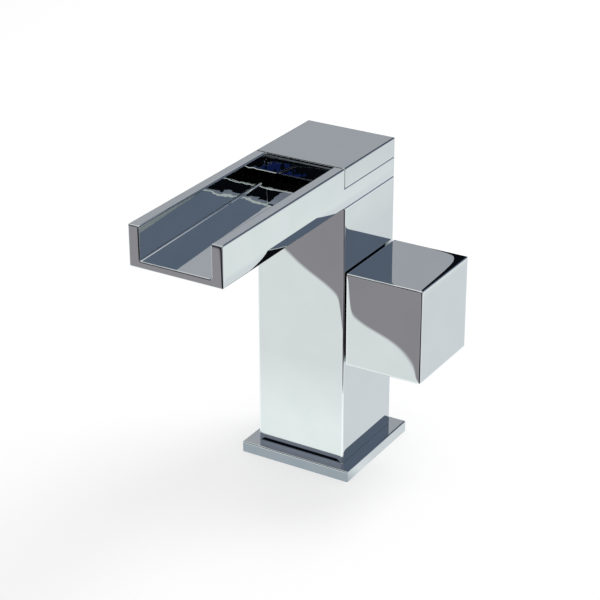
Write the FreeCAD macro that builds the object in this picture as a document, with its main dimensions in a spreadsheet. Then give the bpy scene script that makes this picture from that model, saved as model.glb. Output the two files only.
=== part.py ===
"""Waterfall basin tap: a square column on a square base plate, an open channel spout with a cover
block, and a cube handle on the column's right side that turns a ceramic disc cartridge.

Frame: millimetres, +Z up, origin at the centre of the base plate's underside. The spout points
towards -Y, and the handle stands on the +X side and turns about the X axis.
"""
import FreeCAD, Part
import os

import Sketcher

# Driving dimensions in millimetres and degrees: name, value, what it is.
SIZES = [
    ("plate_side", 50.4, "base plate, both ways"),
    ("plate_thickness", 4.7, "base plate"),
    ("column_width", 40.0, "column, along X"),
    ("column_depth", 40.0, "column, along Y"),
    ("column_height", 112.6, "column, above the base plate"),
    ("spout_reach", 85.9, "spout tip, ahead of the column's front"),
    ("spout_height", 16.5, "spout, underside to rim"),
    ("spout_wall", 4.75, "side walls of the channel"),
    ("tip_floor", 2.9, "channel floor's thickness at the tip"),
    ("floor_climb", 2.1, "how much the channel floor rises from the tip to the weir"),
    ("weir_ahead", 4.5, "weir edge, ahead of the column's front"),
    ("cover_thickness", 8.2, "cover block"),
    ("cover_ahead", 0.4, "cover's front face, ahead of the column's front"),
    ("seam_gap", 0.1, "visible joint between cover and spout walls"),
    ("outer_round", 0.55, "polished round on outer edges"),
    ("seam_bevel", 0.25, "bevel on edges where two outer pieces meet"),
    ("channel_round", 0.9, "round between channel floor and walls"),
    ("handle_length", 33.4, "cube handle, along X"),
    ("handle_tall", 40.0, "cube handle, along Z at rest"),
    ("handle_inset", 0.3, "cube handle, in from the column's front and back"),
    ("handle_gap", 0.7, "running gap between column and cube"),
    ("axis_height", 70.0, "handle axis, above the deck"),
    # Underside
    ("spigot_radius", 16.5, "spigot through the base plate into a 35 mm tap hole"),
    ("spigot_lift", 0.2, "spigot's end, above the deck"),
    ("spigot_fit", 0.15, "spigot in the plate, radial"),
    ("plate_ring_section", 2.0, "rubber ring that grips the plate"),
    ("plate_ring_height", 2.35, "centre of that ring, above the deck"),
    ("foot_seal_inner", 18.4, "sealing ring under the plate, inner radius"),
    ("foot_seal_outer", 22.4, "sealing ring under the plate, outer radius"),
    ("foot_seal_depth", 1.6, "its groove"),
    ("seal_relief", 0.05, "seals, behind the face that they seal"),
    # Waterways in the column
    ("inlet_radius", 4.5, "M10 x 1 hose thread, bored"),
    ("inlet_depth", 12.0, "hose thread"),
    ("inlet_spread", 7.0, "hose threads, from the middle along Y"),
    ("way_radius", 3.25, "cold and hot ways up the column"),
    ("way_overrun", 0.8, "cold and hot ways, above their ports"),
    ("way_setback", 5.0, "ways, behind the cartridge seat"),
    ("riser_radius", 3.6, "mixed water, up to the spout"),
    ("stud_radius", 3.4, "M8 fixing stud thread, bored"),
    ("stud_depth", 14.0, "fixing stud thread"),
    ("stud_offset", 9.5, "fixing stud, from the middle along X"),
    # Cartridge bore in the column
    ("seat_depth", 19.5, "cartridge seat, in from the column's side"),
    ("bore_fit", 0.2, "cartridge in its bore, radial"),
    ("nut_thread_depth", 7.5, "cartridge nut's thread, in from the column's side"),
    ("nut_thread_fit", 0.4, "that thread's bored hole, beyond the cartridge's flange"),
    ("port_inset", 3.9, "cold and hot ports, in from the cartridge's side"),
    ("port_angle", 55.0, "cold and hot ports, below the horizontal"),
    ("port_radius", 1.9, "cold and hot ports"),
    ("mixed_port_radius", 2.0, "mixed water port on the axis"),
    ("peg_inset", 2.1, "locating pegs, in from the cartridge's side"),
    ("peg_angle", 22.0, "locating pegs, above the horizontal"),
    ("peg_radius", 1.5, "locating pegs"),
    ("peg_length", 2.5, "locating pegs"),
    # Cartridge
    ("slip_fit", 0.1, "running and assembly clearance"),
    ("cartridge_radius", 11.4, "cartridge housing and base"),
    ("cartridge_wall", 1.2, "cartridge housing"),
    ("base_length", 5.0, "cartridge base"),
    ("base_ring_back", 3.3, "centre of the base's O-ring, out from the seat"),
    ("port_seal_wall", 0.8, "port seals, radial"),
    ("port_seal_depth", 1.5, "port seals"),
    ("ring_section", 1.5, "small O-rings"),
    ("disc_thickness", 3.0, "ceramic discs and disc carrier"),
    ("disc_gap", 0.05, "water film between the ceramic discs"),
    ("fixed_disc_fit", 0.1, "fixed ceramic disc in the housing, radial"),
    ("moving_disc_fit", 0.4, "moving ceramic disc and carrier in the housing, radial"),
    ("cavity_depth", 1.4, "mixing cavity in the moving disc"),
    ("cavity_radius", 4.2, "mixing cavity, round the axis"),
    ("lobe_inset", 0.5, "mixing cavity's lobe, in from the disc's rim"),
    ("lobe_angle", 50.0, "mixing cavity's lobe"),
    ("lobe_start", -105.0, "lobe's first edge when closed, from straight down"),
    ("lug_width", 3.0, "carrier lugs"),
    ("lug_reach", 2.0, "carrier lugs, radial"),
    ("lug_depth", 1.4, "carrier lugs, into the moving disc"),
    ("lug_inset", 0.3, "carrier lugs, in from the disc's rim"),
    ("spindle_radius", 4.0, "spindle"),
    ("spindle_flange", 6.0, "spindle's flange, radius"),
    ("spindle_flange_length", 2.5, "spindle's flange"),
    ("spindle_play", 0.3, "spindle's flange, behind the housing's shoulder"),
    ("spindle_ring_place", 3.6, "centre of its O-ring, out from the column's side"),
    ("tongue_width", 3.8, "spindle's tongue"),
    ("tongue_span", 11.6, "spindle's tongue, across the axis"),
    ("tongue_depth", 2.2, "tongue in the carrier"),
    ("flange_reach", 1.2, "cartridge flange under the nut, beyond the housing"),
    ("flange_length", 2.0, "cartridge flange"),
    ("shoulder_step", 0.4, "housing outside its flange, in from the rest of its side"),
    ("neck_radius", 7.5, "cartridge neck"),
    ("neck_reach", 8.0, "neck's end, out from the column's side"),
    ("spline_length", 14.0, "toothed end of the spindle"),
    ("spline_setback", 1.0, "spindle's end, in from the end of the hub bore"),
    ("spline_teeth", 12, "teeth round the spindle"),
    ("spline_depth", 0.5, "teeth, radial"),
    ("spline_gap", 0.96, "gap between two teeth, at its root"),
    ("spline_flank", 14.5, "degrees that each side of that gap leans out"),
    ("nut_head_reach", 0.4, "cartridge nut's head, beyond its thread"),
    ("nut_head_length", 5.0, "cartridge nut's head"),
    ("nut_head_gap", 0.3, "nut's head, off the column's side"),
    ("nut_lip_length", 2.7, "nut's inner lip"),
    ("nut_fit", 0.3, "nut, round the housing's shoulder, radial"),
    ("nut_lip_fit", 0.4, "nut's lip, round the neck, radial"),
    ("nut_slot_width", 5.0, "wrench slots in the nut's head"),
    ("nut_slot_depth", 1.8, "wrench slots in the nut's head"),
    # Handle fittings
    ("pocket_room", 1.2, "pocket in the cube, round the nut's head"),
    ("pocket_depth", 12.5, "pocket in the cube"),
    ("hub_radius", 7.0, "hub bore in the cube"),
    ("hub_depth", 13.4, "hub bore, beyond the pocket"),
    ("glide_length", 3.0, "glide ring in the pocket's mouth"),
    ("glide_running_gap", 0.3, "glide ring round the nut's head"),
    ("glide_setback", 1.0, "glide ring, out from the inner face of the nut's head"),
    ("stop_inset", 0.6, "stop ring and insert flange, in from the housing's shoulder"),
    ("stop_wall_length", 2.6, "stop ring's wall, along the axis"),
    ("stop_gap", 0.3, "stop ring to insert, along the axis"),
    ("stop_lug_fit", 0.2, "insert's lug, from the neck and inside the stop ring's rim"),
    ("stop_lug_angle", 20.0, "insert's lug that meets the stops"),
    ("stop_lug_start", 150.0, "lug's first edge when closed, from straight down"),
    ("stop_play", 1.0, "degrees between lug and stop at each end"),
    ("handle_travel", 100.0, "degrees from closed to fully open"),
    ("insert_flange_length", 2.3, "insert's flange"),
    ("set_screw_radius", 2.5, "M5 set screw"),
    ("set_screw_length", 8.0, "M5 set screw"),
    ("set_screw_socket", 2.5, "its hexagon socket, across flats"),
    ("set_screw_socket_depth", 3.2, "its hexagon socket"),
    ("set_screw_place", 20.0, "set screw's axis, out from the column's side"),
    ("cap_radius", 3.3, "cap over the set screw"),
    ("cap_length", 3.0, "cap over the set screw"),
    ("cap_bevel", 0.15, "cap's edge"),
    # Spout rear and cover
    ("chamber_floor", 2.5, "floor under the water chamber"),
    ("mouth_depth", 11.5, "wide mouth of the chamber, behind the weir"),
    ("chamber_width", 22.0, "chamber behind the mouth"),
    ("chamber_back", 8.0, "chamber's back wall, thickness"),
    ("diffuser_depth", 3.9, "flow diffuser, along Y"),
    ("diffuser_slots", 7, "slots in the flow diffuser"),
    ("diffuser_rib", 1.2, "ribs between those slots"),
    ("diffuser_rail", 1.0, "rails above and below those slots"),
    ("gasket_width", 1.5, "cover gasket"),
    ("gasket_depth", 1.0, "cover gasket"),
    ("gasket_margin", 0.9, "gasket, out from the chamber"),
    ("cover_screw_inset", 4.2, "cover screws, in from the sides and the back"),
    ("cover_screw_front", 11.5, "front cover screws, behind the column's front"),
    ("cover_screw_radius", 1.5, "M3 cover screws"),
    ("cover_screw_head", 2.8, "their countersunk heads, radius"),
    ("cover_screw_bite", 5.0, "their thread in the cover"),
    ("cover_screw_socket", 2.0, "their hexagon sockets, across flats"),
    ("cover_screw_socket_depth", 1.1, "their hexagon sockets"),
    ("spout_screw_radius", 2.0, "M4 spout screws"),
    ("spout_screw_head", 3.7, "their countersunk heads, radius"),
    ("spout_screw_bite", 8.0, "their thread in the column"),
    ("spout_screw_socket", 2.5, "their hexagon sockets, across flats"),
    ("spout_screw_socket_depth", 1.4, "their hexagon sockets"),
    ("spout_screw_side", 6.0, "spout screws, from the middle along X"),
    ("spout_screw_spread", 7.0, "spout screws, from the middle along Y"),
    ("screw_play", 0.15, "round a screw's shank or head"),
    ("screw_runout", 1.0, "threaded hole, beyond its screw"),
    ("thread_depth", 0.1, "thread, as the gap between a screw and its bored hole"),
    ("riser_ring_radius", 5.6, "O-ring round the riser, to its section's centre"),
    ("riser_groove_depth", 1.3, "its groove"),
]

# How far a cutting tool stands past the face that it cuts.
OVER = "1"

# Tolerances for finding edges.
STRAIGHT = 0.001
SAME_PLACE = 0.01
PROBE = 0.05
SLOPE_TOLERANCE = 0.2

doc = FreeCAD.newDocument("basin_tap")
sheet = doc.addObject("Spreadsheet::Sheet", "sizes")
for row, (name, number, note) in enumerate(SIZES, start=1):
    sheet.set(f"A{row}", name)
    sheet.set(f"B{row}", str(number))
    sheet.setAlias(f"B{row}", name)
    sheet.set(f"C{row}", note)
doc.recompute()

# Places that several sub-parts share, as expressions over the sheet.
SIDE = "(sizes.column_width / 2)"
FRONT = "(-sizes.column_depth / 2)"
BACK = "(sizes.column_depth / 2)"
SPOUT_BOTTOM = "(sizes.plate_thickness + sizes.column_height)"
RIM = f"({SPOUT_BOTTOM} + sizes.spout_height)"
COVER_BOTTOM = f"({RIM} - sizes.cover_thickness)"
TIP = f"({FRONT} - sizes.spout_reach)"
TIP_FLOOR = f"({SPOUT_BOTTOM} + sizes.tip_floor)"
WEIR = f"({FRONT} - sizes.weir_ahead)"
WEIR_TOP = f"({TIP_FLOOR} + sizes.floor_climb)"
COVER_FRONT = f"({FRONT} - sizes.cover_ahead)"
CHAMBER_FLOOR = f"({SPOUT_BOTTOM} + sizes.chamber_floor)"
CHANNEL_WIDTH = "(sizes.column_width - 2 * sizes.spout_wall)"
MOUTH_END = f"({WEIR} + sizes.mouth_depth)"
CHAMBER_END = f"({BACK} - sizes.chamber_back)"
SEAT = f"({SIDE} - sizes.seat_depth)"
WAY = f"({SEAT} - sizes.way_setback)"
AXIS = "sizes.axis_height"
BORE_RADIUS = "(sizes.cartridge_radius + sizes.bore_fit)"
FLANGE_RADIUS = "(sizes.cartridge_radius + sizes.flange_reach)"
SHOULDER_RADIUS = "(sizes.cartridge_radius - sizes.shoulder_step)"
STOP_RADIUS = f"({SHOULDER_RADIUS} - sizes.stop_inset)"
NUT_THREAD_RADIUS = f"({FLANGE_RADIUS} + sizes.nut_thread_fit)"
NUT_HEAD_RADIUS = f"({NUT_THREAD_RADIUS} + sizes.nut_head_reach)"
POCKET_RADIUS = f"({NUT_HEAD_RADIUS} + sizes.pocket_room)"
DISC_ROOM = "(sizes.cartridge_radius - sizes.cartridge_wall)"
FIXED_DISC_RADIUS = f"({DISC_ROOM} - sizes.fixed_disc_fit)"
MOVING_DISC_RADIUS = f"({DISC_ROOM} - sizes.moving_disc_fit)"
PORT_CIRCLE = "(sizes.cartridge_radius - sizes.port_inset)"
PORT_ACROSS = f"({PORT_CIRCLE} * cos(sizes.port_angle))"
PORT_BELOW = f"({PORT_CIRCLE} * sin(sizes.port_angle))"
PEG_CIRCLE = "(sizes.cartridge_radius - sizes.peg_inset)"
WAY_TOP = f"({AXIS} - {PORT_BELOW} + sizes.port_radius + sizes.way_overrun)"
FIXED_DISC = f"({SEAT} + sizes.base_length)"
MOVING_DISC = f"({FIXED_DISC} + sizes.disc_thickness + sizes.disc_gap)"
CARRIER = f"({MOVING_DISC} + sizes.disc_thickness)"
SPINDLE = f"({CARRIER} + sizes.disc_thickness)"
FLANGE = f"({SIDE} - sizes.nut_thread_depth)"
NUT = f"({FLANGE} + sizes.flange_length)"
NUT_HEAD = f"({SIDE} + sizes.nut_head_gap)"
NUT_LIP_END = f"({NUT_HEAD} + sizes.nut_lip_length)"
NECK_END = f"({SIDE} + sizes.neck_reach)"
CAVITY_END = f"({SPINDLE} + sizes.spindle_flange_length + sizes.spindle_play)"
HANDLE = f"({SIDE} + sizes.handle_gap)"
HANDLE_DEPTH = "(sizes.column_depth - 2 * sizes.handle_inset)"
HANDLE_BOTTOM = "(sizes.axis_height - sizes.handle_tall / 2)"
POCKET_END = f"({HANDLE} + sizes.pocket_depth)"
HUB_END = f"({POCKET_END} + sizes.hub_depth)"
INSERT = f"({POCKET_END} - sizes.insert_flange_length - sizes.slip_fit)"
SPLINE_END = f"({HUB_END} - sizes.spline_setback)"
SPLINE = f"({SPLINE_END} - sizes.spline_length)"
SET_SCREW = f"({SIDE} + sizes.set_screw_place)"
COVER_SCREWS = [
    (f"{side} * ({SIDE} - sizes.cover_screw_inset)", row)
    for side in (-1, 1)
    for row in (f"({FRONT} + sizes.cover_screw_front)", f"({BACK} - sizes.cover_screw_inset)")
]
SPOUT_SCREWS = [("sizes.spout_screw_side", f"{side} * sizes.spout_screw_spread") for side in (-1, 1)]
PORTS = [
    (f"-{PORT_ACROSS}", f"-{PORT_BELOW}", "sizes.port_radius"),
    (PORT_ACROSS, f"-{PORT_BELOW}", "sizes.port_radius"),
    ("0", "0", "sizes.mixed_port_radius"),
]
PEGS = [(f"{side} * {PEG_CIRCLE} * cos(sizes.peg_angle)", f"{PEG_CIRCLE} * sin(sizes.peg_angle)")
        for side in (-1, 1)]


def value(expression):
    """The number that an expression gives with the sheet as it is now."""
    return float(sheet.evalExpression(str(expression)))


# Sketches and features ------------------------------------------------------------------------
# Sketch axes and normal by plane: XY is X, Y, +Z. XZ is X, Z, -Y. YZ is Y, Z, +X.

def new_body(label):
    body = doc.addObject("PartDesign::Body", label)
    body.Label = label
    return body


def sketch_on(body, plane, x="0", y="0", z="0"):
    """A sketch parallel to an origin plane of its body, with its own origin at x, y, z."""
    sketch = body.newObject("Sketcher::SketchObject", f"{body.Label}_sketch")
    origin = next(item for item in body.Origin.OriginFeatures if item.Role == f"{plane}_Plane")
    sketch.AttachmentSupport = (origin, [""])
    sketch.MapMode = "FlatFace"
    offsets = {"XY": (x, y, z), "XZ": (x, z, f"-({y})"), "YZ": (y, z, x)}[plane]
    for axis, size in zip("xyz", offsets):
        sketch.setExpression(f"AttachmentOffset.Base.{axis}", size)
    return sketch


def constrain(sketch, *terms, size=None):
    """Add one constraint, bound to an expression where it has a size."""
    if size is None:
        sketch.addConstraint(Sketcher.Constraint(*terms))
        return
    index = sketch.addConstraint(Sketcher.Constraint(*terms, value(size)))
    sketch.setExpression(f"Constraints[{index}]", size)


def rectangle(width, height):
    """Draws a rectangle centred on the sketch's origin."""
    def draw(sketch):
        half_width, half_height = value(width) / 2, value(height) / 2
        corners = [(-half_width, -half_height), (half_width, -half_height),
                   (half_width, half_height), (-half_width, half_height)]
        draw_loop(sketch, corners)
        for side, kind in enumerate(("Horizontal", "Vertical", "Horizontal", "Vertical")):
            constrain(sketch, kind, side)
        constrain(sketch, "Symmetric", 0, 1, 2, 1, -1, 1)
        constrain(sketch, "DistanceX", 0, 1, 0, 2, size=width)
        constrain(sketch, "DistanceY", 1, 1, 1, 2, size=height)
    return draw


def outline(*corners):
    """Draws a closed outline of straight sides, with each corner held at its own x and y."""
    def draw(sketch):
        draw_loop(sketch, [(value(x), value(y)) for x, y in corners])
        for side, (x, y) in enumerate(corners):
            constrain(sketch, "DistanceX", -1, 1, side, 1, size=x)
            constrain(sketch, "DistanceY", -1, 1, side, 1, size=y)
    return draw


def draw_loop(sketch, corners):
    points = [FreeCAD.Vector(x, y, 0) for x, y in corners]
    for start, end in zip(points, points[1:] + points[:1]):
        sketch.addGeometry(Part.LineSegment(start, end))
    for side in range(len(points)):
        constrain(sketch, "Coincident", side, 2, (side + 1) % len(points), 1)


def circle(*radii):
    """Draws circles round the sketch's origin: one for a disc, two for a ring."""
    def draw(sketch):
        for radius in radii:
            shape = Part.Circle(FreeCAD.Vector(), FreeCAD.Vector(0, 0, 1), value(radius))
            index = sketch.addGeometry(shape)
            constrain(sketch, "Coincident", index, 3, -1, 1)
            constrain(sketch, "Radius", index, size=radius)
    return draw


def pad(body, plane, place, draw, length):
    """Material from the sketch along its plane's normal."""
    sketch = sketch_on(body, plane, **place)
    draw(sketch)
    feature = body.newObject("PartDesign::Pad", f"{body.Label}_pad")
    feature.Profile = sketch
    feature.setExpression("Length", length)
    doc.recompute()
    return feature


def pocket(body, plane, place, draw, length):
    """A cut from the sketch along its plane's normal."""
    before = body.Shape.Volume
    sketch = sketch_on(body, plane, **place)
    draw(sketch)
    feature = body.newObject("PartDesign::Pocket", f"{body.Label}_pocket")
    feature.Profile = sketch
    feature.Reversed = True
    feature.setExpression("Length", length)
    doc.recompute()
    if not body.Shape.Volume < before:
        raise RuntimeError(f"{feature.Label} cuts nothing")
    return feature


def turned(body, kind, axis, place, *corners):
    """Revolution or Groove of an outline round the X or the Z direction through place.

    Corners are (along, radius) round X and (radius, along) round Z.
    """
    sketch = sketch_on(body, "XZ", **place)
    outline(*corners)(sketch)
    feature = body.newObject(f"PartDesign::{kind}", f"{body.Label}_{kind.lower()}")
    feature.Profile = sketch
    feature.ReferenceAxis = (sketch, [{"X": "H_Axis", "Z": "V_Axis"}[axis]])
    doc.recompute()
    return feature


def soften(body, kind, size, names):
    """Fillet or Chamfer of the named edges."""
    shape_so_far = body.Tip
    feature = body.newObject(f"PartDesign::{kind}", f"{body.Label}_{kind.lower()}")
    feature.Base = (shape_so_far, names)
    feature.setExpression({"Fillet": "Radius", "Chamfer": "Size"}[kind], size)
    doc.recompute()


def outer_edges(body, x=(), y=(), z=()):
    """Names of the straight convex edges whose middle lies on two of the given planes."""
    planes = [[value(place) for place in places] for places in (x, y, z)]
    names = []
    for index, edge in enumerate(body.Shape.Edges, start=1):
        if len(edge.Vertexes) != 2:
            continue
        start, end = (vertex.Point for vertex in edge.Vertexes)
        if edge.Length - (end - start).Length > STRAIGHT:
            continue
        middle = (start + end) / 2
        hits = sum(any(abs(coordinate - place) < SAME_PLACE for place in places)
                   for coordinate, places in zip(middle, planes))
        if hits >= 2 and is_convex(body.Shape, middle):
            names.append(f"Edge{index}")
    return names


def is_convex(shape, middle):
    """Is there more air than material round this point of an edge?"""
    steps = [FreeCAD.Vector(x, y, z) * PROBE for x in (-1, 0, 1) for y in (-1, 0, 1) for z in (-1, 0, 1)]
    inside = sum(shape.isInside(middle + step, SAME_PLACE / 2, False) for step in steps)
    return inside < len(steps) / 2


# Primitives along the handle's axis ---------------------------------------------------------------

def axial(start, y="0", z="0", turn="0"):
    """Placement expression: local Z along +X from start, and local X straight down, then turned."""
    return (f"placement(vector({start}; {y}; {AXIS} + ({z}));"
            f" rotationx({turn}) * rotation(vector(0; 1; 0); 90))")


def rod(label, start, length, radius, y="0", z="0", turn="0", angle="360"):
    """Cylinder, or a sector of one, along the handle's axis direction."""
    cylinder = doc.addObject("Part::Cylinder", label)
    cylinder.setExpression("Radius", radius)
    cylinder.setExpression("Height", length)
    cylinder.setExpression("Angle", angle)
    cylinder.setExpression("Placement", axial(start, y, z, turn))
    return cylinder


def bar(label, start, length, width, height, y="0", z="0"):
    """Box along the handle's axis direction, centred on y and z from the axis."""
    box = doc.addObject("Part::Box", label)
    box.setExpression("Length", length)
    box.setExpression("Width", width)
    box.setExpression("Height", height)
    box.setExpression("Placement.Base.x", start)
    box.setExpression("Placement.Base.y", f"({y}) - ({width}) / 2")
    box.setExpression("Placement.Base.z", f"{AXIS} + ({z}) - ({height}) / 2")
    return box


def fuse(label, *shapes):
    result = doc.addObject("Part::MultiFuse", label)
    result.Shapes = list(shapes)
    result.Refine = True
    return result


def cut(label, base, *tools):
    result = doc.addObject("Part::Cut", label)
    result.Base = base
    result.Tool = tools[0] if len(tools) == 1 else fuse(f"{label}_tools", *tools)
    return result


def o_ring(label, axis, place, radius, section):
    """Rubber ring round X or Z, radius to its section's centre; the round section has six sides."""
    body = new_body(label)
    half, corner = f"(({section}) / 2)", f"(({section}) / 4)"
    section_corners = [(half, "0"), (corner, half), (f"-{corner}", half),
                       (f"-{half}", "0"), (f"-{corner}", f"-{half}"), (corner, f"-{half}")]
    if axis == "X":
        corners = [(along, f"{radius} + ({out})") for along, out in section_corners]
    else:
        corners = [(f"{radius} + ({out})", along) for along, out in section_corners]
    turned(body, "Revolution", axis, place, *corners)
    return body


def countersunk_screws(kind, places, head_face, up, length):
    """Flat-headed screws of one kind, driven upwards where up is 1, and down where it is -1."""
    turn = 0 if up > 0 else 180
    screws = []
    for index, (x, y) in enumerate(places):
        place = f"placement(vector({x}; {y}; {head_face}); rotationx({turn}))"
        cone = doc.addObject("Part::Cone", f"{kind}_{index}_head")
        cone.setExpression("Radius1", f"sizes.{kind}_head")
        cone.setExpression("Radius2", f"sizes.{kind}_radius")
        cone.setExpression("Height", f"sizes.{kind}_head - sizes.{kind}_radius")
        cone.setExpression("Placement", place)
        shank = doc.addObject("Part::Cylinder", f"{kind}_{index}_shank")
        shank.setExpression("Radius", f"sizes.{kind}_radius")
        shank.setExpression("Height", length)
        shank.setExpression("Placement", place)
        blank = fuse(f"{kind}_{index}_blank", cone, shank)
        screws.append(cut(f"{kind}_{index}", blank, hexagon_socket(kind, place)))
    return group(f"{kind}s", screws)


def hexagon_socket(kind, place):
    """Tool for a screw's hexagon socket, from the face at place into the screw."""
    socket = doc.addObject("Part::Prism", f"{kind}_socket")
    socket.Polygon = 6
    socket.setExpression("Circumradius", f"sizes.{kind}_socket / (2 * cos(30))")
    socket.setExpression("Height", f"sizes.{kind}_socket_depth")
    socket.setExpression("Placement", place)
    return socket


def group(label, pieces):
    result = doc.addObject("Part::Compound", label)
    result.Links = pieces
    return result


# Base plate and its seals -------------------------------------------------------------------------

def make_base_plate():
    """Square plate: spigot hole in the middle, and a groove for the sealing ring underneath."""
    body = new_body("base_plate")
    pad(body, "XY", {}, rectangle("sizes.plate_side", "sizes.plate_side"), "sizes.plate_thickness")
    pocket(body, "XY", {}, circle("sizes.spigot_radius + sizes.spigot_fit"), "sizes.plate_thickness")
    groove = circle("sizes.foot_seal_inner - sizes.slip_fit", "sizes.foot_seal_outer + sizes.slip_fit")
    pocket(body, "XY", {}, groove, "sizes.foot_seal_depth")
    edge = ("sizes.plate_side / 2", "-sizes.plate_side / 2")
    soften(body, "Fillet", "sizes.outer_round",
           outer_edges(body, x=edge, y=edge, z=("sizes.plate_thickness",)))
    return body


def make_foot_seal():
    body = new_body("foot_seal")
    ring = circle("sizes.foot_seal_inner", "sizes.foot_seal_outer")
    pad(body, "XY", {"z": "sizes.seal_relief"}, ring, "sizes.foot_seal_depth - sizes.seal_relief")
    return body


def make_plate_ring():
    """O-ring round the spigot that grips the base plate."""
    radius = "(sizes.spigot_radius + sizes.spigot_fit - sizes.plate_ring_section / 2)"
    return o_ring("plate_ring", "Z", {"z": "sizes.plate_ring_height"}, radius,
                  "sizes.plate_ring_section")


# Column ----------------------------------------------------------------------------------------

def make_column():
    """Square brass column: spigot, hose and stud threads, waterways and the cartridge bore."""
    body = new_body("column")
    pad(body, "XY", {"z": "sizes.plate_thickness"},
        rectangle("sizes.column_width", "sizes.column_depth"), "sizes.column_height")
    pad(body, "XY", {"z": "sizes.spigot_lift"}, circle("sizes.spigot_radius"),
        "sizes.plate_thickness - sizes.spigot_lift")
    section = "(sizes.plate_ring_section + 2 * sizes.slip_fit)"
    floor = f"sizes.spigot_radius + sizes.spigot_fit - {section}"
    pocket(body, "XY", {"z": f"sizes.plate_ring_height - {section} / 2"},
           circle(floor, f"sizes.spigot_radius + {OVER}"), section)

    sides = {"x": (SIDE, f"-{SIDE}"), "y": (FRONT, BACK)}
    soften(body, "Fillet", "sizes.outer_round", outer_edges(body, **sides))
    soften(body, "Chamfer", "sizes.seam_bevel", outer_edges(body, **sides, z=(SPOUT_BOTTOM,)))
    ledge = "(min(sizes.column_width; sizes.column_depth) / 2 - sizes.spigot_radius)"
    soften(body, "Chamfer", f"min(sizes.seam_bevel; {ledge} / 2)",
           outer_edges(body, **sides, z=("sizes.plate_thickness",)))

    for side in (-1, 1):
        foot = {"x": WAY, "y": f"{side} * sizes.inlet_spread", "z": "sizes.spigot_lift"}
        pocket(body, "XY", foot, circle("sizes.inlet_radius"), "sizes.inlet_depth")
        pocket(body, "XY", foot, circle("sizes.way_radius"), f"{WAY_TOP} - sizes.spigot_lift")
    pocket(body, "XY", {"x": "sizes.stud_offset", "z": "sizes.spigot_lift"},
           circle("sizes.stud_radius"), "sizes.stud_depth")

    pocket(body, "YZ", {"x": SEAT, "z": AXIS}, circle(BORE_RADIUS), "sizes.seat_depth")
    pocket(body, "YZ", {"x": FLANGE, "z": AXIS}, circle(NUT_THREAD_RADIUS),
           "sizes.nut_thread_depth")
    for across, above, radius in PORTS:
        pocket(body, "YZ", {"x": WAY, "y": across, "z": f"{AXIS} + ({above})"}, circle(radius),
               "sizes.way_setback")
    for across, above in PEGS:
        pocket(body, "YZ", {"x": f"{SEAT} - sizes.peg_length - sizes.slip_fit", "y": across,
                            "z": f"{AXIS} + ({above})"},
               circle("sizes.peg_radius + sizes.slip_fit"), "sizes.peg_length + sizes.slip_fit")

    riser_foot = f"({AXIS} - sizes.mixed_port_radius)"
    pocket(body, "XY", {"x": WAY, "z": riser_foot}, circle("sizes.riser_radius"),
           f"{SPOUT_BOTTOM} - {riser_foot}")
    half_groove = "(sizes.riser_groove_depth / 2 + sizes.slip_fit / 2)"
    pocket(body, "XY", {"x": WAY, "z": f"{SPOUT_BOTTOM} - sizes.riser_groove_depth"},
           circle(f"sizes.riser_ring_radius - {half_groove}", f"sizes.riser_ring_radius + {half_groove}"),
           "sizes.riser_groove_depth")
    bored = "(sizes.spout_screw_radius + sizes.thread_depth)"
    for across, along in SPOUT_SCREWS:
        pocket(body, "XY", {"x": across, "y": along,
                            "z": f"{SPOUT_BOTTOM} - sizes.spout_screw_bite - sizes.screw_runout"},
               circle(bored), "sizes.spout_screw_bite + sizes.screw_runout")
    return body


def make_riser_ring():
    """O-ring in the column's top, round the way up to the spout."""
    section = "(sizes.riser_groove_depth - sizes.seal_relief)"
    place = {"x": WAY, "z": f"{SPOUT_BOTTOM} - sizes.seal_relief - {section} / 2"}
    return o_ring("riser_ring", "Z", place, "sizes.riser_ring_radius", section)


# Spout, cover and what holds them ----------------------------------------------------------------

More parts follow.
